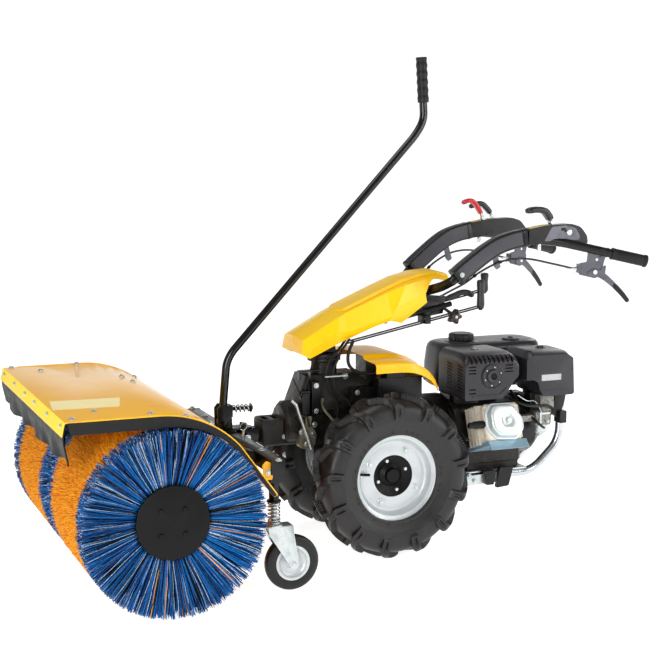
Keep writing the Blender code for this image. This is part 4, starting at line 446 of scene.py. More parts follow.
def hex_bolt(place, axis, size, height, washer=True):
    """A hexagon head with a chamfered top on its washer, standing along +axis or -axis from a place."""
    way = -1.0 if axis[0] == "-" else 1.0
    profile = [(size, 0.0), (size, height * 0.82), (size * 0.86, height)]
    shapes = [lathe([(r, way * h) for r, h in profile], place, axis[-1], 6)]
    if washer:
        ring = [(size * 1.45, -0.0004), (size * 1.45, 0.0012), (size * 1.38, 0.0016)]
        shapes.append(lathe([(r, way * h) for r, h in ring], place, axis[-1], 20))
    return shapes


WHEEL_BOLTS = 0.0865
HUB_BOLTS = 0.048
VALVE_STEM = 0.112
for side, word in SIDES:
    outwards = "-Y" if side < 0 else "Y"
    dish = [(0.064, 0.0125), (0.0645, 0.0142), (0.098, 0.0146), (0.101, 0.0132), (0.105, 0.0132), (0.1085, 0.015),
            (0.1135, 0.0225), (0.117, 0.029), (0.119, 0.033), (0.1245, 0.035), (0.129, 0.0372), (0.133, 0.04),
            (0.138, 0.043), (0.1412, 0.0442), (0.1427, 0.0434), (0.142, 0.0412), (0.137, 0.0395), (0.1315, 0.038),
            (0.1265, 0.033), (0.126, 0.024), (0.118, 0.012), (0.115, 0.0), (0.118, -0.012), (0.126, -0.024),
            (0.1265, -0.033), (0.1315, -0.038), (0.137, -0.0395), (0.142, -0.0412), (0.1427, -0.0434),
            (0.1412, -0.0442), (0.138, -0.043), (0.129, -0.0372), (0.123, -0.034), (0.1225, -0.024),
            (0.115, -0.011), (0.1115, 0.004), (0.103, 0.011), (0.0645, 0.0112)]
    centre = (0.0, side * WHEEL_MIDDLE, AXLE_HEIGHT)
    shapes = [lathe([(r, side * out) for r, out in dish], centre, "Y", 120, ring=True)]
    silver = len(shapes)
    for n in range(4):
        turn = np.radians(62 + 90 * n)
        spot = (WHEEL_BOLTS * np.cos(turn), side * (WHEEL_MIDDLE + 0.015), AXLE_HEIGHT + WHEEL_BOLTS * np.sin(turn))
        shapes += hex_bolt(spot, outwards, 0.0078, 0.006)
    bolts = list(range(silver, len(shapes)))
    turn = np.radians(172)
    spot = (VALVE_STEM * np.cos(turn), side * (WHEEL_MIDDLE + 0.018), AXLE_HEIGHT + VALVE_STEM * np.sin(turn))
    stem = np.add(spot, [(0.0, 0.0, 0.0), (0.008, side * 0.01, 0.0), (0.026, side * 0.014, -0.001)])
    shapes.append(sweep(curve(stem, 6), circle(0.0042, 12), up=(0, 0, 1)))
    hub = [(0.006, -0.016), (0.02, -0.016), (0.0215, -0.0145), (0.023, -0.004), (0.036, 0.004), (0.056, -0.004),
           (0.072, -0.01), (0.082, -0.01), (0.082, 0.002), (0.044, 0.012), (0.04, WHEEL_MIDDLE - 0.139)]
    shapes.append(lathe([(r, -side * out) for r, out in hub], centre, "Y", 48))
    dark = [len(shapes) - 2, len(shapes) - 1]
    for n in range(4):
        turn = np.radians(20 + 90 * n)
        spot = (HUB_BOLTS * np.cos(turn), side * (WHEEL_MIDDLE - 0.001), AXLE_HEIGHT + HUB_BOLTS * np.sin(turn))
        shapes += hex_bolt(spot, outwards, 0.006, 0.008, washer=False)
        bolts.append(len(shapes) - 1)
    piece(f"pressed_rim_{word}", shapes, silver_lacquer, f"wheel_{word}", [f"rim_{word}"], angle=32,
          extras=[(bolts, zinc_plate), (dark, hub_iron)])

# Gearbox and hitch
# Gear case and shaft snout cast in iron, painted satin black and dulled brown by oil and dust; bolts in
# bright zinc hold its covers, and the hitch socket in front takes the brush's tube.

# The painted casting keeps its sand grain and holds brown dust, bare aluminium is a dull warm grey, and
# powder coat has a soft sheen over a faint orange peel.
gear_casting = finish("black_painted_casting", "#0D0B09", "#2A241C", 24, 0.32, 0.26, grain_mm=3.0, height_mm=0.25,
    gloss=0.35)
bare_casting = finish("fettled_cast_aluminium", "#8C8672", "#5F5948", 14, 0.4, 0.22, metallic=0.7, grain_mm=2.4,
    height_mm=0.16)
black_coat = finish("black_powder_coated_steel", "#060607", "#0C0C0E", 40, 0.22, 0.14, grain_mm=3.0,
    height_mm=0.012, gloss=0.35)


def dress(node, material, bevel_mm=1.2, angle=38.0):
    """A copy of a CAD node whose doubled points are merged and whose edges are rounded, in its place."""
    source = frame["nodes"][node]
    mesh = source.data.copy()
    made = bpy.data.objects.new("finished_" + node, mesh)
    bpy.context.scene.collection.objects.link(made)
    shape = bmesh.new()
    shape.from_mesh(mesh)
    bmesh.ops.remove_doubles(shape, verts=shape.verts, dist=1e-5)
    bmesh.ops.dissolve_limit(shape, angle_limit=np.radians(0.5), verts=shape.verts, edges=shape.edges)
    shape.to_mesh(mesh)
    shape.free()
    mesh.materials.clear()
    mesh.materials.append(material)
    mesh.shade_smooth()
    round_edges(made, bevel_mm, angle)
    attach(made, source["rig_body"])
    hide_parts(node)


def eased(outline, radius, steps=5):
    """The outline with each corner replaced by a parabola that starts and ends radius away from it."""
    p = np.asarray(outline, float)
    back, on = np.roll(p, 1, 0) - p, np.roll(p, -1, 0) - p
    reach = np.minimum(np.linalg.norm(back, axis=1), np.linalg.norm(on, axis=1)) * 0.49
    reach = np.minimum(reach, radius)[:, None]
    first = p + back / np.linalg.norm(back, axis=1)[:, None] * reach
    last = p + on / np.linalg.norm(on, axis=1)[:, None] * reach
    t = np.linspace(0, 1, steps)[:, None, None]
    return ((1 - t) ** 2 * first + 2 * t * (1 - t) * p + t**2 * last).transpose(1, 0, 2).reshape(-1, p.shape[1])


def eased_path(corners, radius, steps=8):
    """An open path with its inner corners rounded as eased does, and its ends kept."""
    p = np.asarray(corners, float)
    inside = eased(p, radius, steps)[steps : -steps]
    return np.concatenate([p[:1], inside, p[-1:]])


dress("gearbox_case", gear_casting, 2.5)
dress("hitch_tube", black_coat)
CASE_SIDE = 0.06
FLANGE_BOLTS = 0.056
shapes = []
for x, z in ((-0.095, 0.385), (-0.04, 0.392), (0.03, 0.392), (0.098, 0.385), (-0.098, 0.29), (-0.095, 0.19),
        (0.1, 0.3)):
    for side in (-1, 1):
        shapes += hex_bolt((x, side * CASE_SIDE, z), "-Y" if side < 0 else "Y", 0.0068, 0.0055)
for turn in np.radians(np.arange(20, 380, 60)):
    spot = (-0.285, FLANGE_BOLTS * np.cos(turn), 0.325 + FLANGE_BOLTS * np.sin(turn))
    shapes += hex_bolt(spot, "-X", 0.0062, 0.0055)
piece("gearbox_bolts", shapes, zinc_plate, "chassis")
# Ribs of the casting and the round bearing caps on its sides.
shapes = []
for side in (-1, 1):
    cap = [(0.048, 0.0), (0.048, 0.007), (0.044, 0.01), (0.03, 0.011), (0.028, 0.008), (0.01, 0.008)]
    shapes.append(lathe([(r, side * out) for r, out in cap], (-0.03, side * CASE_SIDE, 0.335), "Y", 36))
    for x in (-0.075, 0.06):
        shapes.append(box((x - 0.004, side * 0.066 - 0.007, 0.225), (x + 0.004, side * 0.066 + 0.007, 0.33)))
piece("gearbox_ribs", shapes, gear_casting, "chassis", bevel_mm=1.5)
# Shift forks and breather: bare aluminium levers on the case's front, whose rods come down from the handlebar.
shapes = [box((-0.176, -0.046, 0.452), (-0.152, -0.022, 0.486)),
    box((-0.168, -0.06, 0.462), (-0.158, -0.018, 0.474))]
breather = [(0.012, 0.0), (0.013, 0.004), (0.013, 0.016), (0.009, 0.022), (0.009, 0.034)]
link = curve([(-0.11, -0.064, 0.36), (-0.128, -0.066, 0.4), (-0.16, -0.06, 0.44), (-0.168, -0.056, 0.47)], 14)
shapes += [lathe(breather, (-0.232, -0.024, 0.392), "Z", 20), sweep(link, circle(0.0045, 10))]
ear = eased([(-0.248, 0.33), (-0.22, 0.322), (-0.196, 0.334), (-0.19, 0.37), (-0.208, 0.396), (-0.24, 0.39)], 0.01)
fork = eased([(-0.226, 0.388), (-0.208, 0.388), (-0.204, 0.424), (-0.224, 0.424)], 0.003, 3)
shapes += [plate(ear, -0.08, -0.05), plate(fork, -0.076, -0.052)]
piece("shift_levers", shapes, bare_casting, "chassis", bevel_mm=1.0)
# Black brackets, a relay can, a wire and the clamp rails of the handlebar's foot.
shapes = [box((-0.24, -0.09, 0.434), (-0.217, -0.06, 0.498)), box((-0.244, -0.084, 0.496), (-0.213, -0.06, 0.504))]
shapes += [box((-0.244, -0.072, 0.562), (-0.175, -0.052, 0.566)),
    box((-0.244, -0.072, 0.538), (-0.24, -0.052, 0.564))]
shapes += [box((-0.208, -0.072, 0.54), (-0.205, -0.052, 0.564)), box((-0.206, -0.08, 0.428), (-0.178, -0.06, 0.53))]
shapes += [box((-0.078, -0.09, 0.43), (0.045, -0.064, 0.505)), box((0.002, -0.112, 0.465), (0.15, 0.09, 0.532))]
shapes.append(box((0.03, -0.112, 0.532), (0.09, -0.06, 0.552)))
wire = curve([(-0.264, -0.07, 0.544), (-0.246, -0.076, 0.5), (-0.228, -0.08, 0.444), (-0.214, -0.08, 0.392)], 16)
shapes.append(sweep(wire, circle(0.0026, 8)))
piece("gear_brackets", shapes, black_coat, "chassis", bevel_mm=0.8)
# Plated parts of the same group: the bent shift rod, a stud with its nut, and the brackets' bolts.
shift_rod = curve([(-0.27, -0.076, 0.476), (-0.258, -0.08, 0.462), (-0.25, -0.082, 0.438), (-0.23, -0.084, 0.384),
    (-0.209, -0.084, 0.324)], 30)
shapes = [sweep(shift_rod, circle(0.0052, 14))]
shapes.append(sweep([(-0.168, -0.09, 0.545), (-0.101, -0.09, 0.545)], circle(0.003, 10)))
shapes += hex_bolt((-0.101, -0.09, 0.545), "X", 0.0085, 0.007)
shapes.append(lathe([(0.008, 0.0), (0.008, 0.005)], (-0.108, -0.09, 0.545), "X", 20))
for x, z in ((-0.24, 0.378), (-0.202, 0.37), (-0.198, 0.398), (-0.202, 0.276), (-0.224, 0.34)):
    shapes += hex_bolt((x, -0.08, z), "-Y", 0.0062, 0.006)
for x, y, z in ((-0.192, -0.08, 0.518), (-0.192, -0.08, 0.44), (-0.06, -0.09, 0.49), (0.03, -0.09, 0.49),
        (0.03, -0.09, 0.445)):
    shapes += hex_bolt((x, y, z), "-Y", 0.0056, 0.005)
piece("gear_bright_parts", shapes, zinc_plate, "chassis")

# Fender cover
# One pressed sheet over the gearbox between the wheels, in the golden yellow of the whole machine; its
# front is flat and its rear half bends down in a smooth curve towards the engine.

# Powder coat of one even colour, its orange peel drawn 3 mm coarse so that it shows.
yellow_enamel = finish("golden_yellow_powder_coat", "#FFC000", "#FBB800", 90, 0.28, 0.07, grain_mm=3.0,
    height_mm=0.008, gloss=0.42)
SHEET = 0.003


def shell(outer, inner):
    """A closed sheet between two grids of points: both faces, and strips that join their four borders."""
    rows, columns, _ = outer.shape
    number = np.arange(rows * columns).reshape(rows, columns)
    face = np.stack([number[:-1, :-1], number[1:, :-1], number[1:, 1:], number[:-1, 1:]], -1).reshape(-1, 4)
    rim = np.concatenate([number[0, :-1], number[:-1, -1], number[-1, :0:-1], number[:0:-1, 0]])
    after = np.roll(rim, -1)
    under = rows * columns
    border = np.stack([rim, after, after + under, rim + under], -1)
    return np.concatenate([outer.reshape(-1, 3), inner.reshape(-1, 3)]), [face, face[:, ::-1] + under, border]


# Seven stations from front to rear, each with its x, its drop under the flat front and its width's share.
COVER_TOP = 0.607
ROWS = 49
along = np.linspace(0, 6, ROWS)
place = np.interp(along, range(7), (-0.045, 0.03, 0.072, 0.112, 0.144, 0.166, 0.18))
bent = [(0, 1.0), (0, 1.0), (0.004, 1.0), (0.017, 0.965), (0.038, 0.92), (0.062, 0.87), (0.088, 0.82)]
drop, spread = curve(bent, ROWS).T
flange = np.interp(along, [0, 1, 3, 5, 6], [0.024, 0.024, 0.022, 0.016, 0.01])
# Half of the cross-section as (distance out, distance down), from the flange's foot over two steps.
half = [(0.2, 0.044), (0.2, 0.023), (0.197, 0.0165), (0.19, 0.013), (0.15, 0.0118), (0.112, 0.01), (0.107, 0.008),
    (0.099, 0.0012), (0.094, 0.0), (0.0, 0.0)]
faces = []
for inset in (0.0, SHEET):
    lines = []
    for side in (-1, 1):
        for reach, low in (half if side < 0 else half[-2::-1]):
            deep = 0.02 + flange if low > 0.04 else np.full(ROWS, low + (inset if low < 0.022 else 0.0))
            lines.append(np.stack([place, side * (reach * spread - inset), COVER_TOP - drop - deep], 1))
    faces.append(np.stack(lines, 1))
piece("fender_sheet", [shell(*faces)], yellow_enamel, "chassis", ["fender_cover"], angle=32)

# Engine: crankcase and cylinder
# Die-cast aluminium block with a leaning finned cylinder and a pale head; the finish is bare metal, warm
# grey and dulled by oil, and a zinc-plated guide under the head leads the cooling air.

# The castings differ in tone, from bare grey to oil brown and pale, all with a fine grain; the plated
# sheets are smooth and bright, the moulded plastic and rubber nearly black with a soft sheen.
die_casting = finish("die_cast_aluminium", "#86867F", "#3A3833", 12, 0.34, 0.2, metallic=0.6, grain_mm=2.4,
    height_mm=0.12)
oiled_casting = finish("oiled_dark_casting", "#1D1A17", "#37322A", 22, 0.34, 0.24, metallic=0.2, grain_mm=2.6,
    height_mm=0.2, gloss=0.35)
head_casting = finish("pale_cast_aluminium", "#E6DDCC", "#BDB098", 18, 0.42, 0.16, metallic=0.1, grain_mm=2.4,
    height_mm=0.16)
blue_zinc = finish("blue_passivated_zinc", "#9DBDCD", "#86A9BC", 30, 0.28, 0.1, metallic=0.5, grain_mm=2.0,
    height_mm=0.004)
pale_zinc = finish("clear_passivated_zinc", "#D6DEDC", "#C6D0D0", 60, 0.3, 0.06, metallic=0.5)
black_plastic = finish("black_moulded_polypropylene", "#0C0C0D", "#131315", 45, 0.28, 0.14, grain_mm=1.8,
    height_mm=0.03, cells=True, gloss=0.4)
black_rubber = finish("black_moulded_rubber", "#0C0B0B", "#161414", 30, 0.42, 0.16, grain_mm=1.8, height_mm=0.05,
    gloss=0.35)
HEAD = np.array([0.387, -0.075, 0.338])
HEAD_LEAN = about("X", -20.0)
dress("crankcase", oiled_casting, 2.0)
dress("cylinder_head", head_casting, 1.0)
guide = [(-0.078, 0.2666), (-0.217, 0.2666), (-0.231, 0.2506), (-0.234, 0.2506), (-0.219, 0.2805), (-0.078, 0.281)]
guide = moved(plate(guide, 0.3225, 0.4575, "X"), HEAD_LEAN, HEAD)
piece("air_guide", [guide], blue_zinc, "chassis", bevel_mm=1.0)
plug_wire = curve([(0.27, -0.202, 0.336), (0.256, -0.2, 0.342), (0.248, -0.17, 0.37), (0.256, -0.11, 0.4),
    (0.27, -0.06, 0.41)], 30)
boot = lathe([(0.0085, -0.116), (0.01, -0.113), (0.01, -0.1), (0.0125, -0.096), (0.0125, -0.05), (0.007, -0.048)],
    HEAD + (0, -0.127, -0.002), "X", 24)
shapes = [moved(boot, HEAD_LEAN, HEAD), sweep(plug_wire, circle(0.0036, 10))]
piece("spark_plug_boot", shapes, black_rubber, "chassis")

# Engine: valve cover
# Six-sided cover pressed from sheet and zinc plated to a bluish mirror, with a flat rolled flange, a
# domed face and one bolt in a dimple in its middle.


def at_width(line, y):
    """A line of (x, z) pairs set at the distance y across the machine."""
    return np.insert(line, 1, y, axis=1)


outline = eased([(-0.066, 0.034), (-0.044, 0.06), (0.03, 0.058), (0.066, 0.006), (0.066, -0.026), (0.036, -0.06),
    (-0.04, -0.054), (-0.066, -0.022)], 0.012, 7)
# Rings of the pressing as (distance out, size), from under the flange to the dimple.
rise = [(0.0003, 0.97), (0.0003, 1.0), (0.002, 1.0), (0.0045, 0.985), (0.005, 0.965), (0.0048, 0.925),
    (0.006, 0.905), (0.01, 0.89), (0.02, 0.85), (0.024, 0.825), (0.0262, 0.78), (0.0272, 0.7), (0.0276, 0.45),
    (0.027, 0.3), (0.0235, 0.24), (0.023, 0.12)]
rows = [at_width(outline * size, -0.1453 - out) + HEAD for out, size in rise]
shapes = [moved(skin(np.array(rows)), HEAD_LEAN, HEAD)]
shapes += [moved(part, HEAD_LEAN, HEAD) for part in hex_bolt(HEAD + (0.004, -0.1683, 0.0), "-Y", 0.0075, 0.0085)]
piece("valve_cover_pressing", shapes, pale_zinc, "chassis", ["valve_cover"], angle=50)

# Engine: muffler guard
# Sheet steel box in satin graphite paint over the muffler, with rows of punched slots, a round outlet
# with six screws and, behind the slots, the brown heat-tinted muffler.

# Satin graphite with a faint leather grain; the muffler's steel is blued and browned by its heat.
graphite_paint = finish("graphite_moulding", "#242328", "#2C2B30", 60, 0.26, 0.1, grain_mm=2.0, height_mm=0.02,
    gloss=0.45)
burnt_steel = finish("heat_tinted_steel", "#4A2E14", "#7A4A18", 20, 0.42, 0.2, metallic=0.6, grain_mm=2.4,
    height_mm=0.08)
BOX_FOOT = 0.456
SHOULDER = 0.55


def lifted(line, level, lift):
    """The line of (x, z) pairs with its heights above the level multiplied by lift."""
    x, z = line.T
    return np.stack([x, np.where(z > level, level + (z - level) * lift, z)], 1)


def guard_rows(stations, inset=0.0):
    """The guard's outline at each (y, lift) station, where lift multiplies the height above the shoulder,
    so that the top curves over to the front; inset moves the outline inwards for the hollow."""
    line = np.array([(0.262, BOX_FOOT), (0.396, BOX_FOOT), (0.438, 0.512), (0.452, 0.524), (0.452, 0.572),
        (0.44, 0.588), (0.276, 0.588), (0.262, 0.574)])
    middle, half_size = np.array([0.355, 0.525]), np.array([0.095, 0.066])
    line = middle + (eased(line, 0.008, 4) - middle) * (1 - inset / half_size)
    return skin(np.array([at_width(lifted(line, SHOULDER, lift), y) for y, lift in stations]))


def joined(name, shapes):
    """A bare mesh object of closed shapes, for cutting with."""
    points = np.concatenate([shape[0] for shape in map(outward, shapes)])
    faces, first = [], 0
    for place, groups in map(outward, shapes):
        for group in groups:
            faces += (group + first).tolist()
        first += len(place)
    mesh = bpy.data.meshes.new(name)
    mesh.from_pydata((points + MACHINE).tolist(), [], faces)
    made = bpy.data.objects.new(name, mesh)
    bpy.context.scene.collection.objects.link(made)
    return made


def cut_out(made, shapes, width_mm):
    """Takes the shapes out of a finished piece, and rounds the edges that are left by width_mm."""
    mesh = made.data
    made.modifiers.clear()
    cutter = joined("cutter", shapes)
    step_out = made.modifiers.new("cut", "BOOLEAN")
    step_out.operation = "DIFFERENCE"
    step_out.solver = "EXACT"
    step_out.use_self = True
    step_out.object = cutter
    view = bpy.context.evaluated_depsgraph_get()
    view.update()
    result = bpy.data.meshes.new_from_object(made.evaluated_get(view))
    made.modifiers.clear()
    made.data = result
    bpy.data.meshes.remove(mesh)
    tool = cutter.data
    bpy.data.objects.remove(cutter)
    bpy.data.meshes.remove(tool)
    result.shade_smooth()
    round_edges(made, width_mm, 40)


FRONT = -0.187
outer = [(FRONT, 0.42), (-0.1862, 0.56), (-0.182, 0.78), (-0.174, 0.97), (-0.16, 1.13), (-0.135, 1.27),
    (-0.11, 1.31), (-0.004, 1.31)]
guard = piece("muffler_guard_shell", [guard_rows(outer)], graphite_paint, "chassis",
    ["muffler_guard"])
inner = [(y + 0.0025 if y < -0.15 else y, lift) for y, lift in outer[:-1]] + [(0.01, 1.31)]
cut_out(guard, [guard_rows(inner, 0.0028)], 0)
# Slits over the rounded top edge, short slots beside the outlet, and two columns of leaning slots in front.
slit = [(-0.194, 0.574), (-0.189, 0.569), (-0.16, 0.5815), (-0.164, 0.593)]
cuts = [plate(slit, x, x + 0.007, "X") for x in 0.282 + 0.0158 * np.arange(10)]
for z in 0.559 - 0.01 * np.arange(3):
    cuts += [box((x, -0.2, z), (far, -0.176, z + 0.0042)) for x, far in ((0.274, 0.3), (0.402, 0.43))]
cuts += [box((0.276, -0.2, z), (0.3, -0.176, z + 0.004)) for z in (0.488, 0.476)]
leaning = np.array([(0.0, 0.0), (0.034, 0.004), (0.034, 0.0092), (0.0, 0.0052)])
for y in (-0.168, -0.098):
    cuts += [plate(leaning + (y, z), 0.25, 0.272, "X") for z in 0.556 - 0.0098 * np.arange(9)]
OUTLET = np.array([0.358, FRONT, 0.529])
TOP_HOLE = np.array([0.35, -0.08, 0.6])
cuts.append(lathe([(0.03, -0.02), (0.03, 0.02)], OUTLET, "Y", 40))
cuts.append(lathe([(0.013, -0.004), (0.013, 0.02)], TOP_HOLE, "Z", 32))
cut_out(guard, cuts, 0.9)
ring = [(0.0105, 0.011), (0.0105, -0.008), (0.015, -0.0092), (0.0205, -0.0088), (0.0222, -0.006), (0.0232, -0.0026),
        (0.034, -0.0026), (0.0362, -0.005), (0.0382, -0.0046), (0.039, -0.001), (0.0386, 0.004)]
bead = eased([(0.286, -0.002), (0.386, -0.002), (0.412, 0.022), (0.408, 0.025), (0.384, 0.004), (0.286, 0.004)],
    0.002, 3)
shapes = [lathe(ring + [(0.03, 0.006), (0.02, 0.012)], OUTLET, "Y", 56, ring=True)]
shapes.append(plate(bead + (0, BOX_FOOT + 0.011), FRONT - 0.0024, FRONT + 0.001, "Y"))
screws = len(shapes)
screw = [(0.0028, 0.0), (0.0028, -0.002), (0.002, -0.003)]
for turn in np.radians(np.arange(0, 360, 60) + 20):
    spot = OUTLET + (0.0292 * np.cos(turn), -0.0026, 0.0292 * np.sin(turn))
    shapes.append(lathe(screw, spot, "Y", 12))
shapes.append(lathe([(0.008, -0.004), (0.008, 0.003), (0.006, 0.005)], TOP_HOLE - (0, 0, 0.0015), "Z", 6))
piece("muffler_outlet", shapes, graphite_paint, "chassis",
    extras=[(range(screws, len(shapes)), zinc_plate)], bevel_mm=0.5)
# The muffler behind the slots, and its oily tail pipe in the outlet.
pot = eased([(0.275, 0.468), (0.392, 0.468), (0.43, 0.515), (0.442, 0.53), (0.442, 0.566), (0.432, 0.578),
    (0.284, 0.578), (0.275, 0.566)], 0.015, 5)
shapes = [skin(np.array([at_width(pot, y) for y in (-0.172, -0.012)]))]
shapes.append(lathe([(0.0104, -0.013), (0.0104, 0.006), (0.013, 0.01)], OUTLET + (0, 0.006, 0), "Y", 30))
piece("muffler", shapes, burnt_steel, "chassis", bevel_mm=3, extras=[([1], hub_iron)])

# Engine: air cleaner
# Two-part box moulded in satin graphite plastic: a cover with a bevelled top, a knob in a round recess,
# and a bare pale label on its left face; its intake elbow goes down to the carburettor.

# A matt grey film, left blank.
pale_label = finish("blank_label_film", "#B9B9BB", "#A9A9AC", 30, 0.45, 0.08)
line = np.array([(0.492, 0.5), (0.492, 0.574), (0.512, 0.592), (0.64, 0.59), (0.662, 0.57), (0.668, 0.452),
    (0.66, 0.448), (0.556, 0.448), (0.542, 0.466), (0.534, 0.494), (0.524, 0.5)])
line = eased(line, 0.007, 4)
middle = np.array([0.585, 0.52])
rows = []
for y, top, size in ((-0.168, 0.4, 0.985), (-0.1676, 0.62, 1.0), (-0.15, 1.06, 1.0), (-0.125, 1.1, 1.0),
        (-0.05, 1.12, 1.0), (-0.03, 1.05, 1.0), (-0.006, 0.96, 0.99)):
    rows.append(at_width(middle + (lifted(line, 0.565, top) - middle) * size, y))
shapes = [skin(np.array(rows))]
cleaner = piece("air_cleaner_box", shapes, graphite_paint, "chassis", ["air_cleaner"])
KNOB = np.array([0.585, -0.088, 0.5915])
recess = lathe([(0.0165, -0.0065), (0.0185, 0.02)], KNOB + (0, 0, 0.0045), "Z", 40)
cut_out(cleaner, [recess, box((0.488, -0.18, 0.499), (0.5205, -0.15, 0.503))], 2.2)
shapes = [lathe([(0.015, -0.006), (0.015, 0.0), (0.006, 0.0012), (0.005, 0.006)], KNOB, "Z", 32)]
shapes.append(box((0.5745, -0.0915, 0.591), (0.5955, -0.0845, 0.6)))
seam = eased([(0.558, 0.0), (0.64, 0.0), (0.64, 0.003), (0.558, 0.003)], 0.001, 3)
shapes.append(plate(seam + (0, 0.4655), -0.169, -0.166, "Y"))
shapes.append(box((0.546, -0.1684, 0.4985), (0.618, -0.166, 0.5185)))
piece("air_cleaner_fittings", shapes, graphite_paint, "chassis", bevel_mm=0.6,
    extras=[([3], pale_label)])

# Engine: carburettor and hoses
# Die-cast carburettor with a bright pressed float bowl, its choke lever and wire, fuel hoses of black
# rubber, and a black moulded elbow that brings filtered air down from the air cleaner.
dress("carburettor", die_casting, 1.0)
bowl = [(0.006, 0.3118), (0.0078, 0.3122), (0.0086, 0.3165), (0.013, 0.318), (0.019, 0.323), (0.0224, 0.33),
    (0.0228, 0.35), (0.0236, 0.3506), (0.0236, 0.353)]
BOWL = (0.575, -0.115)
shapes = [lathe(bowl, (*BOWL, 0.0), "Z", 40)]
shapes += [box((0.556, -0.146, 0.366), (0.562, -0.128, 0.392)), box((0.562, -0.144, 0.384), (0.594, -0.14, 0.39))]
shapes += hex_bolt((*BOWL, 0.313), "-Z", 0.0052, 0.0045)
shapes += hex_bolt((0.588, -0.141, 0.36), "-Y", 0.0042, 0.005) + hex_bolt((0.56, -0.141, 0.36), "-Y", 0.0042, 0.005)
choke_wire = curve([(0.47, -0.15, 0.455), (0.5, -0.156, 0.436), (0.535, -0.15, 0.43), (0.562, -0.146, 0.392)], 16)
shapes.append(sweep(choke_wire, circle(0.0016, 8)))
piece("carburettor_bowl", shapes, zinc_plate, "chassis", bevel_mm=0.6)


def bar_section(half_wide, half_tall, radius, steps):
    """The outline of a flat bar with eased corners."""
    corners = [(-half_wide, -half_tall), (half_wide, -half_tall), (half_wide, half_tall), (-half_wide, half_tall)]
    return eased(corners, radius, steps)


# A breather hose, a fuel hose, the elbow, its foot on the carburettor, and the block that the hoses leave.
breather = curve([(0.455, -0.12, 0.44), (0.49, -0.16, 0.425), (0.54, -0.166, 0.418), (0.58, -0.15, 0.412),
    (0.606, -0.135, 0.398), (0.6, -0.128, 0.372)], 28)
fuel_hose = curve([(0.505, -0.04, 0.452), (0.52, -0.09, 0.4), (0.55, -0.15, 0.356), (0.572, -0.148, 0.34)], 24)
elbow = curve([(0.64, -0.118, 0.452), (0.636, -0.12, 0.42), (0.628, -0.122, 0.396), (0.616, -0.122, 0.376)], 14)
shapes = [sweep(breather, circle(0.0052, 14)), sweep(fuel_hose, circle(0.0042, 12))]
shapes.append(sweep(elbow, bar_section(0.02, 0.016, 0.008, 4), np.linspace(1.1, 0.75, 14)))
shapes.append(box((0.628, -0.152, 0.352), (0.652, -0.112, 0.392)))
shapes.append(box((0.545, -0.1, 0.404), (0.6, -0.06, 0.45)))
piece("intake_elbow", shapes, black_plastic, "chassis", bevel_mm=1.5)

# Engine: fuel tank and cap
# Tank in satin graphite, its rounded top sunk round the filler, with a welded seam below; a ribbed black
# screw cap, and a second low boss on the far side of its top.
base = eased([(0.282, 0.006), (0.664, 0.006), (0.664, 0.196), (0.282, 0.196)], 0.075, 9)
middle, half_size = np.array([0.473, 0.101]), np.array([0.191, 0.095])
rows = []
# Levels of the shell as (height, drawn in by, shifted back by).
for z, small, shift in ((0.452, 0.03, 0.0), (0.456, 0.016, 0.0), (0.466, 0.004, 0.0), (0.476, 0.0, 0.0),
        (0.53, 0.0, 0.001), (0.578, 0.003, 0.004), (0.59, 0.006, 0.005), (0.598, 0.012, 0.006),
        (0.602, 0.022, 0.006), (0.603, 0.036, 0.006), (0.603, 0.06, 0.006)):
    line = middle + (base - middle) * (1 - small / half_size) + (shift, 0.0)
    rows.append(np.insert(line, 2, z, axis=1))
piece("tank_shell", [skin(np.array(rows))], graphite_paint, "chassis", ["fuel_tank"], angle=50)
FILLER = np.array([0.392, 0.092, 0.602])
BOSS = (0.56, 0.06, 0.602)
shapes = [plate(middle + (base - middle) * (1 + 0.0022 / half_size), 0.47, 0.4745, "Z")]
shapes.append(lathe([(0.056, -0.002), (0.057, 0.001), (0.054, 0.003), (0.05, 0.002)], FILLER, "Z", 60))
shapes.append(lathe([(0.03, -0.002), (0.03, 0.004), (0.027, 0.0065), (0.012, 0.007)], BOSS, "Z", 40))
shapes.append(lathe([(0.009, 0.006), (0.0085, 0.01), (0.005, 0.011)], BOSS, "Z", 20))
piece("fuel_tank_seam", shapes, graphite_paint, "chassis", bevel_mm=1.0)
# The screw cap's radius swells and sinks in twenty flat-topped ribs; deep says how much of them each ring
# of (height, radius, deep) has.
around = circle(1.0, 240)
grip = np.clip(np.cos(np.linspace(0, 2 * np.pi, 240, endpoint=False) * 20) * 1.6, -1, 1)
rows = []
for up, radius, deep in ((0.0003, 0.0405, 0.0), (0.002, 0.0412, 0.0), (0.003, 0.0408, 1.0), (0.017, 0.0408, 1.0),
        (0.02, 0.0402, 0.6), (0.0225, 0.038, 0.0), (0.024, 0.034, 0.0), (0.0245, 0.03, 0.0), (0.0238, 0.015, 0.0)):
    reach = radius + 0.0011 * deep * grip
    rows.append(np.insert(reach[:, None] * around, 2, 0.003 + up, axis=1) + FILLER)
piece("ribbed_fuel_cap", [skin(np.array(rows))], black_plastic, "cap", ["fuel_cap"], angle=40)

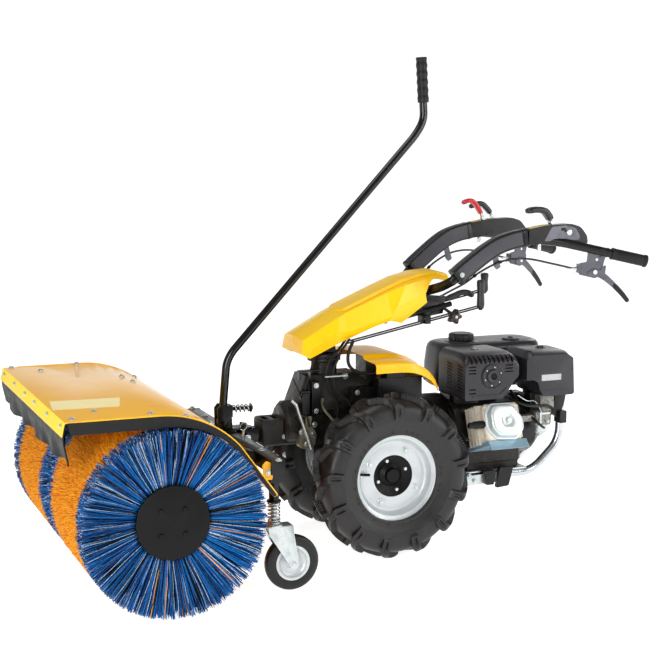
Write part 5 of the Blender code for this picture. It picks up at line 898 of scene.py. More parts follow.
# Engine: recoil starter, foot and bumper
# Round black starter housing with cooling slots on the engine's rear, a T-shaped pull handle; under the
# engine black bracket plates, flat zinc-plated bars, and a bent bright tube that guards the engine.
dress("recoil_housing", black_plastic, 1.5)
dress("recoil_handle", black_plastic, 2.0)
dress("engine_foot", zinc_plate, 0.8)
CRANK = np.array([0.0, 0.03, 0.33])
shapes = [lathe([(0.034, 0.0), (0.034, 0.0025), (0.03, 0.0045), (0.01, 0.0045)], CRANK + (0.619, 0, 0), "X", 40)]
fin = box((0.59, -0.002, 0.056), (0.603, 0.002, 0.086))
shapes += [moved(fin, about("X", degrees), by=CRANK) for degrees in range(3, 363, 30)]
bolts = len(shapes)
for turn in np.radians((40, 160, 280)):
    spot = CRANK + (0.5895, 0.093 * np.cos(turn), 0.093 * np.sin(turn))
    shapes += hex_bolt(spot, "X", 0.0052, 0.0045)
piece("starter_ribs", shapes, black_plastic, "chassis", bevel_mm=0.6,
    extras=[(range(bolts, len(shapes)), zinc_plate)])
half = at_width([(0.472, 0.181), (0.575, 0.181), (0.676, 0.275), (0.684, 0.5)], -0.065)
bumper = eased_path(np.concatenate([half, half[::-1] * (1, -1, 1)]), 0.045, 10)
# Drawn tube, polished by its rolls: long clear reflections.
bright_tube = finish("bright_drawn_steel", "#C6C9CC", "#AEB3B8", 30, 0.16, 0.1, metallic=1.0, grain_mm=2.5,
    height_mm=0.006)
shapes = [sweep(bumper, circle(0.0135, 28), up=(0.3, 0.2, 1))]
shapes += [lathe([(0.0118, -0.001), (0.0118, 0.002)], (0.472, y, 0.181), "X", 24) for y in (-0.065, 0.065)]
piece("bumper_tube", shapes, bright_tube, "chassis", ["bumper_bar"], angle=60,
    extras=[([1, 2], black_rubber)])
shapes = [plate(eased([(0.372, 0.206), (0.42, 0.206), (0.412, 0.16), (0.384, 0.16)], 0.004, 4), -0.11, -0.088)]
shapes.append(plate(eased([(0.436, 0.212), (0.486, 0.212), (0.47, 0.15), (0.424, 0.146)], 0.005, 4), -0.104, -0.09))
shapes.append(box((0.38, -0.112, 0.176), (0.398, -0.104, 0.196)))
piece("engine_brackets", shapes, black_coat, "chassis", bevel_mm=1.2)
shapes = []
for x, z in ((0.33, 0.19), (0.35, 0.174), (0.452, 0.176)):
    shapes += hex_bolt((x, -0.094, z), "-Y", 0.0062, 0.0055)
piece("bracket_bolts", shapes, zinc_plate, "chassis")

# Handlebar: turret, beam and cover
# A steel turret swivels on the gearbox column and carries the tilt pin; the beam with its bent cross
# tube is black powder coat, and a faceted shell moulded in golden yellow plastic covers it.

# Moulded plastic, a little lemon beside the enamel, with crisp facets and soft highlights.
yellow_plastic = finish("golden_yellow_moulding", "#FFCC00", "#FFC400", 80, 0.26, 0.08, grain_mm=2.5,
    height_mm=0.006, gloss=0.45)
dress("handle_turret", gear_casting, 1.5)
dress("handle_yoke", black_coat, 1.0)
# Seven lines along one side of the cover, each as (x, distance out, z) at eleven stations from the nose
# back: lower edge, band, top of the side, foot of the raised brow, the brow's face, the brow's edge, and
# the crest beside the middle; the faces between the lines are flat.
edge_line = [(-0.242, 0.084, 0.617), (-0.212, 0.08, 0.602), (-0.16, 0.08, 0.625), (-0.13, 0.08, 0.6385),
    (-0.098, 0.084, 0.653), (-0.004, 0.085, 0.689), (0.051, 0.086, 0.706), (0.094, 0.08, 0.697),
    (0.181, 0.08, 0.757), (0.208, 0.079, 0.83), (0.264, 0.062, 0.822)]
band_line = [(-0.2405, 0.087, 0.624), (-0.206, 0.093, 0.639), (-0.16, 0.094, 0.664), (-0.125, 0.094, 0.685),
    (-0.096, 0.0915, 0.679), (-0.004, 0.0925, 0.704), (0.053, 0.0935, 0.72), (0.07, 0.0935, 0.748),
    (0.17, 0.09, 0.786), (0.212, 0.08, 0.833), (0.265, 0.064, 0.825)]
side_line = [(-0.235, 0.08, 0.66), (-0.2, 0.08, 0.679), (-0.15, 0.0795, 0.7065), (-0.118, 0.079, 0.724),
    (-0.096, 0.076, 0.735), (0.0, 0.076, 0.774), (0.048, 0.076, 0.793), (0.105, 0.082, 0.814), (0.17, 0.082, 0.83),
    (0.22, 0.07, 0.837), (0.264, 0.061, 0.829)]
foot_line = [(-0.247, 0.023, 0.6688), (-0.205, 0.023, 0.6908), (-0.16, 0.023, 0.7148), (-0.119, 0.023, 0.7368),
    (-0.09, 0.058, 0.739), (0.003, 0.059, 0.7785), (0.05, 0.0595, 0.7985), (0.108, 0.06, 0.8215),
    (0.172, 0.061, 0.838), (0.223, 0.061, 0.843), (0.264, 0.058, 0.833)]
face_line = [(-0.247, 0.017, 0.6696), (-0.205, 0.017, 0.6916), (-0.16, 0.017, 0.7156), (-0.119, 0.017, 0.7376),
    (-0.09, 0.062, 0.741), (0.003, 0.063, 0.7805), (0.05, 0.0635, 0.8005), (0.108, 0.064, 0.8235),
    (0.172, 0.065, 0.84), (0.223, 0.064, 0.845), (0.264, 0.0595, 0.835)]
brow_line = [(-0.247, 0.011, 0.67), (-0.205, 0.011, 0.692), (-0.16, 0.011, 0.716), (-0.119, 0.011, 0.738),
    (-0.093, 0.053, 0.748), (0.0, 0.053, 0.7875), (0.048, 0.053, 0.8075), (0.108, 0.053, 0.8315),
    (0.172, 0.053, 0.847), (0.223, 0.053, 0.851), (0.262, 0.05, 0.842)]
crest_line = [(-0.247, 0.005, 0.6703), (-0.205, 0.005, 0.6923), (-0.16, 0.005, 0.7163), (-0.119, 0.005, 0.7383),
    (-0.096, 0.025, 0.749), (0.0, 0.026, 0.789), (0.048, 0.027, 0.8095), (0.108, 0.028, 0.8345),
    (0.172, 0.03, 0.8495), (0.223, 0.03, 0.8545), (0.26, 0.03, 0.845)]
lines = [edge_line, band_line, side_line, foot_line, face_line, brow_line, crest_line]
# The last two spans get more stations, for the notch.
station = np.concatenate([np.arange(8.0), np.linspace(8, 9, 8), np.linspace(9, 10, 7)[1:]])
lines = np.array([[np.interp(station, range(11), way) for way in zip(*line)] for line in lines]).transpose(0, 2, 1)
# Over the handlebar's tubes the lower edge follows a round notch, and the lines above it give way.
notch = np.interp(station[8:-1], [8.0, 8.12, 8.3, 8.5, 8.7, 9.0, 9.3, 9.6, 10.0], range(9))
notch_x = np.interp(notch, range(9), [0.174, 0.1715, 0.175, 0.184, 0.194, 0.208, 0.224, 0.238, 0.26])
notch_z = np.interp(notch, range(9), [0.77, 0.79, 0.808, 0.82, 0.827, 0.83, 0.828, 0.824, 0.822])
lines[0, 9:-1, 0], lines[0, 9:-1, 2] = notch_x[1:], notch_z[1:]
for k in (1, 2):
    lines[k, :, 2] = np.maximum(lines[k, :, 2], lines[k - 1, :, 2] + 0.0025)
WALL = 0.003
faces = []
for inset in (0.0, WALL):
    side = lines.transpose(1, 0, 2) * (1, -1, 1) + (0.0, inset, 0.0)
    side[:, :, 2] -= inset * (np.arange(len(lines)) >= 2)
    faces.append(np.concatenate([side, side[:, ::-1] * (1, -1, 1)], 1))
front = np.concatenate([faces[0][:1], faces[0][:1] + (0.0035, 0.0, 0.0)])
piece("cover_shell", [shell(*faces), skin(front)], yellow_plastic, "handlebar", ["handle_cover"],
    bevel_mm=0.4, angle=8)
hook = curve([(0.03, -0.08, 0.712), (0.032, -0.082, 0.702), (0.04, -0.082, 0.7), (0.045, -0.08, 0.708)], 12)
piece("cover_hook", [sweep(hook, circle(0.0022, 8), up=(0, 1, 0.1))], black_coat, "handlebar")

# Handlebar: arms
# Two bent arms of black moulded plastic over steel, with flat grey cheeks let into their sides, a collar
# at the foot, and a narrow joint before the end housing.

# Glossy deep black for the arms, matt charcoal with a fine cell grain for the cheeks.
arm_black = finish("gloss_black_moulding", "#070708", "#0D0D0E", 50, 0.24, 0.12, grain_mm=2.2, height_mm=0.02,
    gloss=0.4)
cheek_grey = finish("charcoal_grey_moulding", "#414046", "#48474D", 60, 0.4, 0.1, grain_mm=1.8, height_mm=0.03,
    cells=True, gloss=0.35)
ARM = [(0.2355, -0.162, 0.8385), (0.259, -0.1642, 0.859), (0.296, -0.168, 0.887), (0.336, -0.1725, 0.9155),
    (0.374, -0.1775, 0.937), (0.42, -0.183, 0.952), (0.4655, -0.1864, 0.9602)]


def both_sides(shapes):
    """The left side's shapes as they are, and the same mirrored in the tractor's middle plane."""
    return ("left", shapes), ("right", [(points * (1, -1, 1), groups) for points, groups in shapes])


collar = bar_section(0.0215, 0.028, 0.0075, 5)
line = curve(ARM, 60)
shapes = [sweep(line, bar_section(0.02, 0.027, 0.0065, 5), up=(0, 0, 1))]
shapes.append(sweep(line[5:56], bar_section(0.0204, 0.0195, 0.0006, 3), up=(0, 0, 1)))
shapes.append(sweep(line[[0, 1, 3, 4]], collar, [0.94, 1.0, 1.0, 0.96], up=(0, 0, 1)))
shapes.append(sweep(line[56:58], collar, up=(0, 0, 1)))
shapes += hex_bolt((0.248, -0.184, 0.85), "-Y", 0.0055, 0.004)
for word, parts in both_sides(shapes):
    piece(f"bent_arm_{word}", parts, arm_black, "handlebar", [f"arm_{word}"], angle=30,
        extras=[([1], cheek_grey), ([4, 5], zinc_plate)])

# Handlebar: end housings, tubes and brackets
# Each arm ends in a black housing with a plated steel cheek and the levers' pivots; a black tube leads on
# to the grip, and a punched steel plate under it carries the brake lever.

# Dull grey sheet; the white spots stand for daylight through open holes and pin caps.
plate_steel = finish("satin_zinc_sheet", "#66666E", "#54545C", 40, 0.34, 0.14, metallic=0.6, grain_mm=2.5,
    height_mm=0.01)
white_hole = finish("light_through_hole", "#F2F2F2", "#EDEDED", 40, 0.9, 0.05)
yellow_label = finish("blank_yellow_label", "#E8CF1A", "#E0C516", 30, 0.4, 0.08)
GRIP_FROM = np.array([0.58, -0.2, 0.944])
GRIP_TO = np.array([0.85, -0.282, 0.88])
GRIP_WAY = (GRIP_TO - GRIP_FROM) / np.linalg.norm(GRIP_TO - GRIP_FROM)


def beside_grip(shape):
    """Turns a shape drawn in the plane y = 0 into the upright plane through the left grip."""
    x, y, _ = GRIP_FROM + (GRIP_TO - GRIP_FROM) * 0.42
    turn = about("Z", np.degrees(np.arctan2(GRIP_WAY[1], GRIP_WAY[0])))
    return moved(shape, turn, (x, 0, 0), (0, y, 0))


body = eased([(0.4665, 0.9345), (0.4665, 0.9865), (0.532, 0.997), (0.619, 1.0), (0.652, 0.99), (0.676, 0.962),
    (0.68, 0.936), (0.654, 0.934), (0.6, 0.944), (0.54, 0.944)], 0.01, 5)
shapes = [plate(body, -0.2088, -0.1672, "Y")]
tube_line = eased_path([(0.5, -0.19, 0.952), GRIP_FROM, GRIP_TO - GRIP_WAY * 0.004], 0.05, 12)
shapes.append(sweep(tube_line, circle(0.0145, 28), up=(0, 0, 1)))
shapes.append(sweep([GRIP_TO - GRIP_WAY * 0.133, GRIP_TO - GRIP_WAY * 0.13], circle(0.016, 28), up=(0, 0, 1)))
# From here on the numbers note where each material's shapes start.
steel = len(shapes)
bracket = eased([(0.64, 0.84), (0.64, 0.876), (0.664, 0.88), (0.668, 0.918), (0.726, 0.906), (0.716, 0.864),
    (0.706, 0.834), (0.69, 0.828)], 0.003, 3)
shapes.append(beside_grip(plate(bracket, -0.002, 0.002)))
shapes.append(beside_grip(box((0.6345, -0.012, 0.846), (0.64, 0.012, 0.874))))
PIVOT = (0.69, 0.0, 0.848)
shapes.append(beside_grip(lathe([(0.005, -0.0095), (0.005, 0.0095)], PIVOT, "Y", 20)))
cheek = eased([(0.52, 0.947), (0.546, 0.992), (0.6, 0.9955), (0.634, 0.986), (0.648, 0.964), (0.648, 0.949),
    (0.6, 0.948)], 0.006, 4)
shapes.append(plate(cheek, -0.2099, -0.208, "Y"))
boss = len(shapes)
cup = [(0.01, 0.0), (0.01, -0.0025), (0.008, -0.004), (0.0055, -0.004), (0.005, -0.003)]
stud = [(0.0062, -0.016), (0.0064, 0.0), (0.005, 0.004), (0.005, 0.01)]
shapes += [lathe(cup, (0.61, -0.209, 0.973), "Y", 30), lathe(stud, (0.51, -0.196, 0.9345), "Z", 16)]
dark = len(shapes)
shapes.append(box((0.58, -0.2104, 0.979), (0.598, -0.209, 0.988)))
shapes.append(box((0.592, -0.2104, 0.9735), (0.603, -0.209, 0.98)))
shapes.append(beside_grip(lathe([(0.0026, -0.0024), (0.0026, 0.0024)], (0.706, 0.0, 0.896), "Y", 14)))
spot = GRIP_FROM + (GRIP_TO - GRIP_FROM) * 0.475 + (-0.004, -0.0142, 0.0015)
plug = lathe([(0.0085, -0.0008), (0.0085, 0.0012), (0.006, 0.0004)], (0, 0, 0), "Y", 24)
shapes.append(moved(plug, about("Z", -17.0) @ np.diag([1.25, 1, 0.8]), by=spot))
pale = len(shapes)
for place, radius, half in (((0.696, 0.0, 0.887), 0.0042, 0.0022), (PIVOT, 0.0052, 0.0098)):
    shapes.append(beside_grip(lathe([(radius, -half), (radius, half)], place, "Y", 18)))
label = len(shapes)
film = [(0.475, 0.987), (0.533, 0.9962), (0.547, 0.9966), (0.547, 0.9978), (0.533, 0.9974), (0.4748, 0.9882)]
shapes.append(plate(film, -0.206, -0.178))
for word, parts in both_sides(shapes):
    looks = [(range(steel, boss), plate_steel), (range(boss, dark), zinc_plate), (range(dark, pale), black_rubber)]
    looks += [(range(pale, label), white_hole), ([label], yellow_label)]
    piece(f"end_housing_{word}", parts, arm_black, "handlebar", [f"handle_end_{word}"],
        bevel_mm=0.8, extras=looks)

# Handlebar: grips
# Rubber sleeves moulded with fine ribs along them, two collar rings in front and a smooth end cap, pushed
# over the tubes' ends.

# Each ring's share of the sleeve's length, and the sleeve's width there.
share = np.array([0.0, 0.004, 0.03, 0.045, 0.055, 0.075, 0.085, 0.1, 0.12, 0.14, 0.88, 0.9, 0.915, 0.935, 0.975,
    0.995, 1.0])
size = np.array([0.9, 1.02, 1.02, 0.99, 0.93, 0.93, 1.0, 1.0, 0.93, 0.96, 0.96, 0.93, 1.04, 1.06, 1.06, 0.97, 0.88])
turn = np.linspace(0, 2 * np.pi, 144, endpoint=False)
ribbed = (1 + 0.02 * np.cos(24 * turn))[:, None] * circle(0.0185, 144)
line = GRIP_TO - GRIP_WAY * 0.118 * (1 - share)[:, None]
for word, parts in both_sides([sweep(line, ribbed, size, up=(0, 0, 1))]):
    piece(f"rubber_grip_{word}", parts, black_rubber, "handlebar", [f"grip_{word}"], angle=60)

# Handlebar: brake levers
# Punched steel hand levers with a horn above the pivot, their blades dipped in black plastic, each turning
# on a pin with a white cap.
blade = [(0.668, 0.842), (0.69, 0.847), (0.716, 0.836), (0.745, 0.813), (0.774, 0.785), (0.792, 0.764),
    (0.8005, 0.753)]
line = curve(at_width(blade, 0.0), 50)
tall = np.interp(np.arange(32), [0, 8, 18, 30, 49], [0.75, 1.45, 1.15, 0.85, 0.6])
horn = [(0.7, 0.838), (0.712, 0.862), (0.722, 0.87), (0.7255, 0.866), (0.723, 0.842), (0.728, 0.826)]
size = np.interp(np.arange(24), [0, 2, 21, 23], [0.85, 1.0, 0.78, 0.5])
wide_tall = np.stack([np.full(32, 1.6), tall], 1)
shapes = [sweep(line[:32], bar_section(0.003, 0.009, 0.002, 4), wide_tall, up=(0, 0, 1))]
shapes.append(plate(eased(horn, 0.002, 3), -0.0046, -0.0024))
shapes.append(sweep(line[26:], bar_section(0.0062, 0.0085, 0.005, 5), size, up=(0, 0, 1)))
shapes.append(lathe([(0.003, -0.0105), (0.0065, -0.01), (0.0065, -0.0088)], PIVOT, "Y", 20))
shapes = [beside_grip(shape) for shape in shapes]
for word, parts in both_sides(shapes):
    piece(f"hand_lever_{word}", parts, plate_steel, f"brake_{word}", [f"brake_lever_{word}"],
        angle=35, extras=[([2], black_plastic), ([3], white_hole)])

# Handlebar: thumb levers
# Moulded paddles on short steel stems: the clutch on the left and the throttle on the right in graphite,
# the engine stop beside it in red, all turning on pins in the end housings.

# Nylon with a soft sheen and a fine grain; the red one is a little shinier.
lever_graphite = finish("graphite_nylon", "#1F1F23", "#29282D", 40, 0.26, 0.12, grain_mm=1.8, height_mm=0.02,
    gloss=0.45)
red_nylon = finish("signal_red_nylon", "#C4121E", "#A80E18", 40, 0.3, 0.1, coat=0.2, grain_mm=1.8, height_mm=0.01)


def paddle(name, foot, knuckle, tip, wide, thick, material, body, node):
    """A stem from its pin, then a pad along an arch from the knuckle to the tip: its section is a rounded
    bar that swells at the knuckle and closes in a rounded end."""
    foot, knuckle, tip = map(np.array, (foot, knuckle, tip))
    arch = [foot + (knuckle - foot) * 0.3, foot * 0.25 + knuckle * 0.75 + (-0.002, 0, 0)]
    arch += [knuckle + (-0.014, 0, 0.006), (knuckle + tip) / 2 + (-0.008, 0, 0.007), tip]
    pad_line = curve(arch, 36)
    size = np.interp(np.arange(36), [0, 1, 8, 20, 31, 34, 35], [0.8, 0.92, 1.0, 1.0, 0.92, 0.7, 0.36])
    shapes = [sweep(pad_line, bar_section(wide / 2, thick / 2, thick * 0.45, 6), size, up=(0.4, 0, 1))]
    pin = [(0.0068, -wide * 0.32), (0.007, -wide * 0.3), (0.007, wide * 0.3), (0.0068, wide * 0.32)]
    shapes += [lathe(pin, foot, "Y", 24), sweep([foot, foot + (knuckle - foot) * 0.6], circle(0.0052, 14))]
    piece(name, shapes, material, body, [node], angle=45, extras=[([1, 2], zinc_plate)])


paddle("clutch_paddle", (0.556, -0.188, 1.0053), (0.541, -0.188, 1.036), (0.466, -0.188, 1.04), 0.034, 0.02,
    lever_graphite, "clutch", "clutch_lever")
paddle("throttle_paddle", (0.562, 0.204, 1.0055), (0.536, 0.204, 1.04), (0.476, 0.204, 1.036), 0.024, 0.018,
    lever_graphite, "throttle", "throttle_lever")
paddle("stop_paddle", (0.512, 0.176, 1.0015), (0.484, 0.176, 1.052), (0.434, 0.176, 1.05), 0.026, 0.014, red_nylon,
    "stop", "stop_lever")

# Handlebar: selector rods, height lever and knob
# Gears and drive are picked by long steel rods with upright moulded handles; a bent grip releases the
# height lock, and a brownish five-lobed knob clamps the beam.

# Blackened steel worn bright in patches, and mottled brown bakelite.
rod_steel = finish("blackened_steel_rod", "#1A1A1C", "#47474C", 16, 0.22, 0.16, metallic=0.5, grain_mm=2.0,
    height_mm=0.01)
knob_plastic = finish("brown_black_bakelite", "#2B1C17", "#3A2820", 20, 0.28, 0.12, grain_mm=2.0, height_mm=0.02)
for name, start, end, tall, body in (
    ("gear_rod", (-0.098, -0.103, 0.65), (0.357, -0.103, 0.74), 0.092, "gear_selector"),
    ("drive_rod", (-0.06, -0.033, 0.69), (0.408, -0.033, 0.784), 0.062, "drive_selector"),
):
    side = np.array([0.19, 0.0, -0.98]) * 0.0032
    shapes = [sweep([start + side * way, end + side * way], circle(0.0026, 12)) for way in (-1, 1)]
    shapes.append(lathe([(0.0058, -0.012), (0.0062, 0.0), (0.0062, 0.012)], end, "Z", 20))
    handle = [(0.008, 0.0), (0.0098, 0.001), (0.012, 0.1 * tall), (0.0126, 0.16 * tall), (0.0112, 0.5 * tall),
        (0.0114, 0.62 * tall), (0.0132, 0.86 * tall), (0.0128, 0.94 * tall), (0.01, 0.99 * tall), (0.005, tall)]
    shapes.append(lathe(handle, np.subtract(end, (0, 0, 0.008)), "Z", 36))
    piece(f"{name}_pair", shapes, rod_steel, body, [name], angle=50, extras=[([3], lever_graphite)])
line = curve([(0.248, -0.047, 0.757), (0.258, -0.047, 0.76), (0.284, -0.05, 0.768), (0.312, -0.054, 0.78),
    (0.334, -0.056, 0.779), (0.356, -0.057, 0.769)], 44)
size = np.interp(np.arange(44), [0, 8, 12, 16, 26, 36, 41, 43], [0.42, 0.48, 0.78, 1.0, 0.86, 1.0, 0.9, 0.45])
hub = [(0.0085, -0.0045), (0.009, -0.0035), (0.009, 0.004), (0.008, 0.005)]
shapes = [sweep(line, bar_section(0.009, 0.01, 0.007, 6), size, up=(0, 0, 1))]
shapes.append(lathe(hub, (0.248, -0.0488, 0.757), "Y", 28))
piece("height_grip", shapes, lever_graphite, "height_lock", ["height_lever"], angle=50)
# The knob's radius rises and falls five times round it.
CLAMP = np.array([0.278, 0.0, 0.708])
turn = np.linspace(0, 2 * np.pi, 100, endpoint=False)
lobes = (0.02 + 0.0044 * np.cos(5 * turn))[:, None] * circle(1.0, 100)
rings = ((-0.0905, 0.55), (-0.09, 0.78), (-0.085, 1.0), (-0.07, 1.02), (-0.066, 0.86), (-0.064, 0.5))
shapes = [skin(np.array([at_width(lobes * size, out) + CLAMP for out, size in rings]))]
shapes.append(lathe([(0.005, 0.0), (0.005, -0.004)], CLAMP + (0, -0.09, 0), "Y", 6))
piece("clamp_knob", shapes, knob_plastic, "handlebar", angle=50, extras=[([1], zinc_plate)])

# Handlebar: cables
# Black sheathed steel cables, each with a bright ferrule at the brake bracket, held by small clips; one
# grey angle bracket hangs under each arm, and the shift cables drop from under the cover to the gearbox.

# Black sheath with short grey painted glints: painted highlights, as the light catches a twisted cable's strands.
glint_painted_sheath = finish("cable_sheath_painted_glints", "#0C0C0D", "#66666A", 5, 0.34, 0.16, grain_mm=2.2, height_mm=0.08,
    start=0.52)
anchor = beside_grip((np.array([[0.637, 0.0, 0.86]]), []))[0][0]
flat = GRIP_WAY * (1, 1, 0) / np.hypot(GRIP_WAY[0], GRIP_WAY[1])
start = anchor - flat * 0.0036
route = [start - flat * 0.014, (0.56, -0.203, 0.875), (0.48, -0.19, 0.892), (0.42, -0.18, 0.892),
    (0.372, -0.172, 0.88), (0.32, -0.163, 0.854), (0.276, -0.15, 0.821), (0.24, -0.125, 0.796),
    (0.205, -0.095, 0.77)]
line = np.concatenate([start[None], curve(route, 100)])
# The sheath, its ferrule with the bright wire's end, two clips, and the bracket that hangs under the arm.
shapes = [sweep(line, circle(0.0033, 14), up=(0, 1, 0.2))]
ferrule = start - flat * np.array([0.0, 0.008, 0.0085, 0.03, 0.031])[:, None]
shapes.append(sweep(ferrule, circle(0.004, 16), [1.3, 1.3, 0.95, 0.95, 0.8], up=(0, 0, 1)))
wire = [start + (0, 0, -0.004), start - flat * 0.004 + (0, 0, -0.012), start - flat * 0.014 + (0, 0, -0.017)]
shapes.append(sweep(curve(wire, 8), circle(0.0012, 6)))
shapes += [sweep(line[k : k + 3], circle(0.0052, 14), up=(0, 1, 0.2)) for k in (46, 66)]
hanger = eased([(0.36, 0.915), (0.376, 0.92), (0.392, 0.868), (0.378, 0.86), (0.368, 0.87)], 0.003, 4)
shapes.append(plate(hanger, -0.166, -0.1635, "Y"))
for word, parts in both_sides(shapes):
    piece(f"brake_cable_{word}", parts, glint_painted_sheath, "handlebar", [f"cable_{word}"], angle=50,
          extras=[([1, 2], zinc_plate), ([3, 4], black_rubber), ([5], plate_steel)])
shapes = []
for route in (
    [(-0.085, -0.06, 0.655), (-0.112, -0.068, 0.625), (-0.142, -0.075, 0.6), (-0.158, -0.078, 0.551),
     (-0.144, -0.078, 0.49), (-0.12, -0.076, 0.452), (-0.118, -0.062, 0.4)],
    [(-0.078, -0.07, 0.655), (-0.104, -0.078, 0.625), (-0.122, -0.085, 0.6), (-0.139, -0.086, 0.555),
     (-0.13, -0.086, 0.5), (-0.085, -0.084, 0.46), (-0.06, -0.066, 0.42)],
    [(-0.072, 0.06, 0.655), (-0.1, 0.07, 0.62), (-0.128, 0.078, 0.56), (-0.12, 0.076, 0.48), (-0.08, 0.064, 0.42)],
    [(-0.168, -0.03, 0.64), (-0.186, -0.05, 0.6), (-0.214, -0.056, 0.52), (-0.236, -0.05, 0.44),
     (-0.242, -0.044, 0.4)],
):
    shapes.append(sweep(curve(route, 60), circle(0.004, 12), up=(0, 1, 0.2)))
loop = curve([(-0.07, -0.08, 0.65), (-0.09, -0.088, 0.61), (-0.088, -0.094, 0.575), (-0.056, -0.096, 0.552),
    (0.0, -0.09, 0.548), (0.05, -0.06, 0.556)], 50)
shapes.append(sweep(loop, circle(0.0052, 14), up=(0, 1, 0.2)))
cables = piece("shift_cables", shapes, black_rubber, None, angle=60)
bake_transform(cables)

# Brush roll: bristles
# Rings of filament bundles pressed into the roll: crimped blue, pale and black filaments in the two end
# rings and the middle one, orange polypropylene between them; each filament is cut square at its tip.
ROLL_AXIS = np.array([-0.766, -0.03, 0.256])
BRISTLE_REACH = 0.2545
# Plastic filament, matt with a few shades to each colour, as lengths of one bundle catch the light.
blue_filament = finish("blue_polypropylene_filament", "#0468B4", "#0A84D0", 14, 0.42, 0.14, gloss=0.3)
navy_filament = finish("navy_polypropylene_filament", "#043E84", "#032C62", 14, 0.44, 0.14, gloss=0.3)
# Pale crimped filament: grey white with dark flecks every few millimetres, as its waves turn from the light.
pale_filament = finish("pale_crimped_filament", "#C8D8E4", "#3A72B0", 3.5, 0.44, 0.14, start=0.44, gloss=0.3)
black_filament = finish("black_polypropylene_filament", "#07090C", "#121C30", 6, 0.5, 0.14, gloss=0.25)
orange_filament = finish("orange_polypropylene_filament", "#FFA200", "#FF9400", 22, 0.44, 0.14, gloss=0.3)
amber_filament = finish("amber_polypropylene_filament", "#FFBA18", "#FFA808", 22, 0.44, 0.14, gloss=0.3)
rust_filament = finish("rust_polypropylene_filament", "#E87A04", "#D66404", 22, 0.48, 0.14, gloss=0.3)


def strands(name, lines, thick, looks, materials, node):
    """Three-sided filaments on the roll: each line is a row of points with thick as the half width at
    each; looks gives every filament its material's number; they take the place of the node."""
    count, rows, _ = lines.shape
    along = np.gradient(lines, axis=1)
    along /= np.linalg.norm(along, axis=2)[..., None]
    side = np.cross(along, (0.31, 0.87, 0.38))
    side /= np.linalg.norm(side, axis=2)[..., None]
    other = np.cross(along, side)
    turn = np.arange(3) * 2 * np.pi / 3
    wide = np.broadcast_to(thick, (count, rows))[:, :, None, None]
    ring = np.cos(turn)[:, None] * side[:, :, None] + np.sin(turn)[:, None] * other[:, :, None]
    points = lines[:, :, None] + wide * ring
    row, corner = np.meshgrid(np.arange(rows - 1), np.arange(3), indexing="ij")
    after = (corner + 1) % 3
    quads = np.stack([row * 3 + corner, row * 3 + after, row * 3 + 3 + after, row * 3 + 3 + corner], -1).reshape(-1)
    last = 3 * rows - 3
    ends = np.array([2, 1, 0, last, last + 1, last + 2])
    loops = (np.arange(count) * rows * 3)[:, None] + np.concatenate([quads, ends])
    faces = 3 * (rows - 1)
    starts = np.concatenate([np.arange(faces) * 4, [faces * 4, faces * 4 + 3]])
    starts = (np.arange(count) * loops.shape[1])[:, None] + starts
    mesh = bpy.data.meshes.new(name)
    mesh.vertices.add(count * rows * 3)
    mesh.vertices.foreach_set("co", (points.reshape(-1, 3) + MACHINE).ravel())
    mesh.loops.add(loops.size)
    mesh.loops.foreach_set("vertex_index", loops.ravel())
    mesh.polygons.add(starts.size)
    mesh.polygons.foreach_set("loop_start", starts.ravel())
    for material in materials:
        mesh.materials.append(material)
    mesh.polygons.foreach_set("material_index", np.repeat(looks, faces + 2).astype(np.int32))
    mesh.update(calc_edges=True)
    mesh.shade_smooth()
    made = bpy.data.objects.new(name, mesh)
    bpy.context.scene.collection.objects.link(made)
    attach(made, "roll")
    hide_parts(node)


def bundle(random, count, tufts, rows, low, high, inner, lean, ragged, spread, splay=0.0):
    """Lines of filaments that leave the roll in bundles: a bundle's own turn and each filament's place in
    it (spread, low to high), its length to the reach less a ragged part, and a lean, a wave and a splay
    that grow outwards from the inner radius."""
    group = random.integers(0, tufts, count)
    turn = 2 * np.pi * (group + 0.35 * np.sin(7.0 * group)) / tufts + random.normal(0, spread, count)
    across = random.uniform(0, 1, count)
    y = low + (high - low) * across
    share = np.linspace(0, 1, rows)[None]
    reach = BRISTLE_REACH - np.abs(random.normal(0, ragged, count))
    radius = inner + (reach - inner)[:, None] * share
    swing = random.normal(0, lean, count)[:, None] * share**1.5
    wave = random.uniform(0.0, 0.0032, count)[:, None] * np.sin(share * 5 + random.uniform(0, 6.3, count)[:, None])
    turn = turn[:, None] + swing + wave * share / radius * 1.5
    out = y[:, None] + share * (splay * across[:, None] + random.normal(0, ragged * 0.8, count)[:, None])
    if splay:
        out = np.clip(out, min(low, high + splay), max(low, high + splay))
    lines = np.stack([radius * np.cos(turn), out, radius * np.sin(turn)], -1) + ROLL_AXIS
    return lines, group


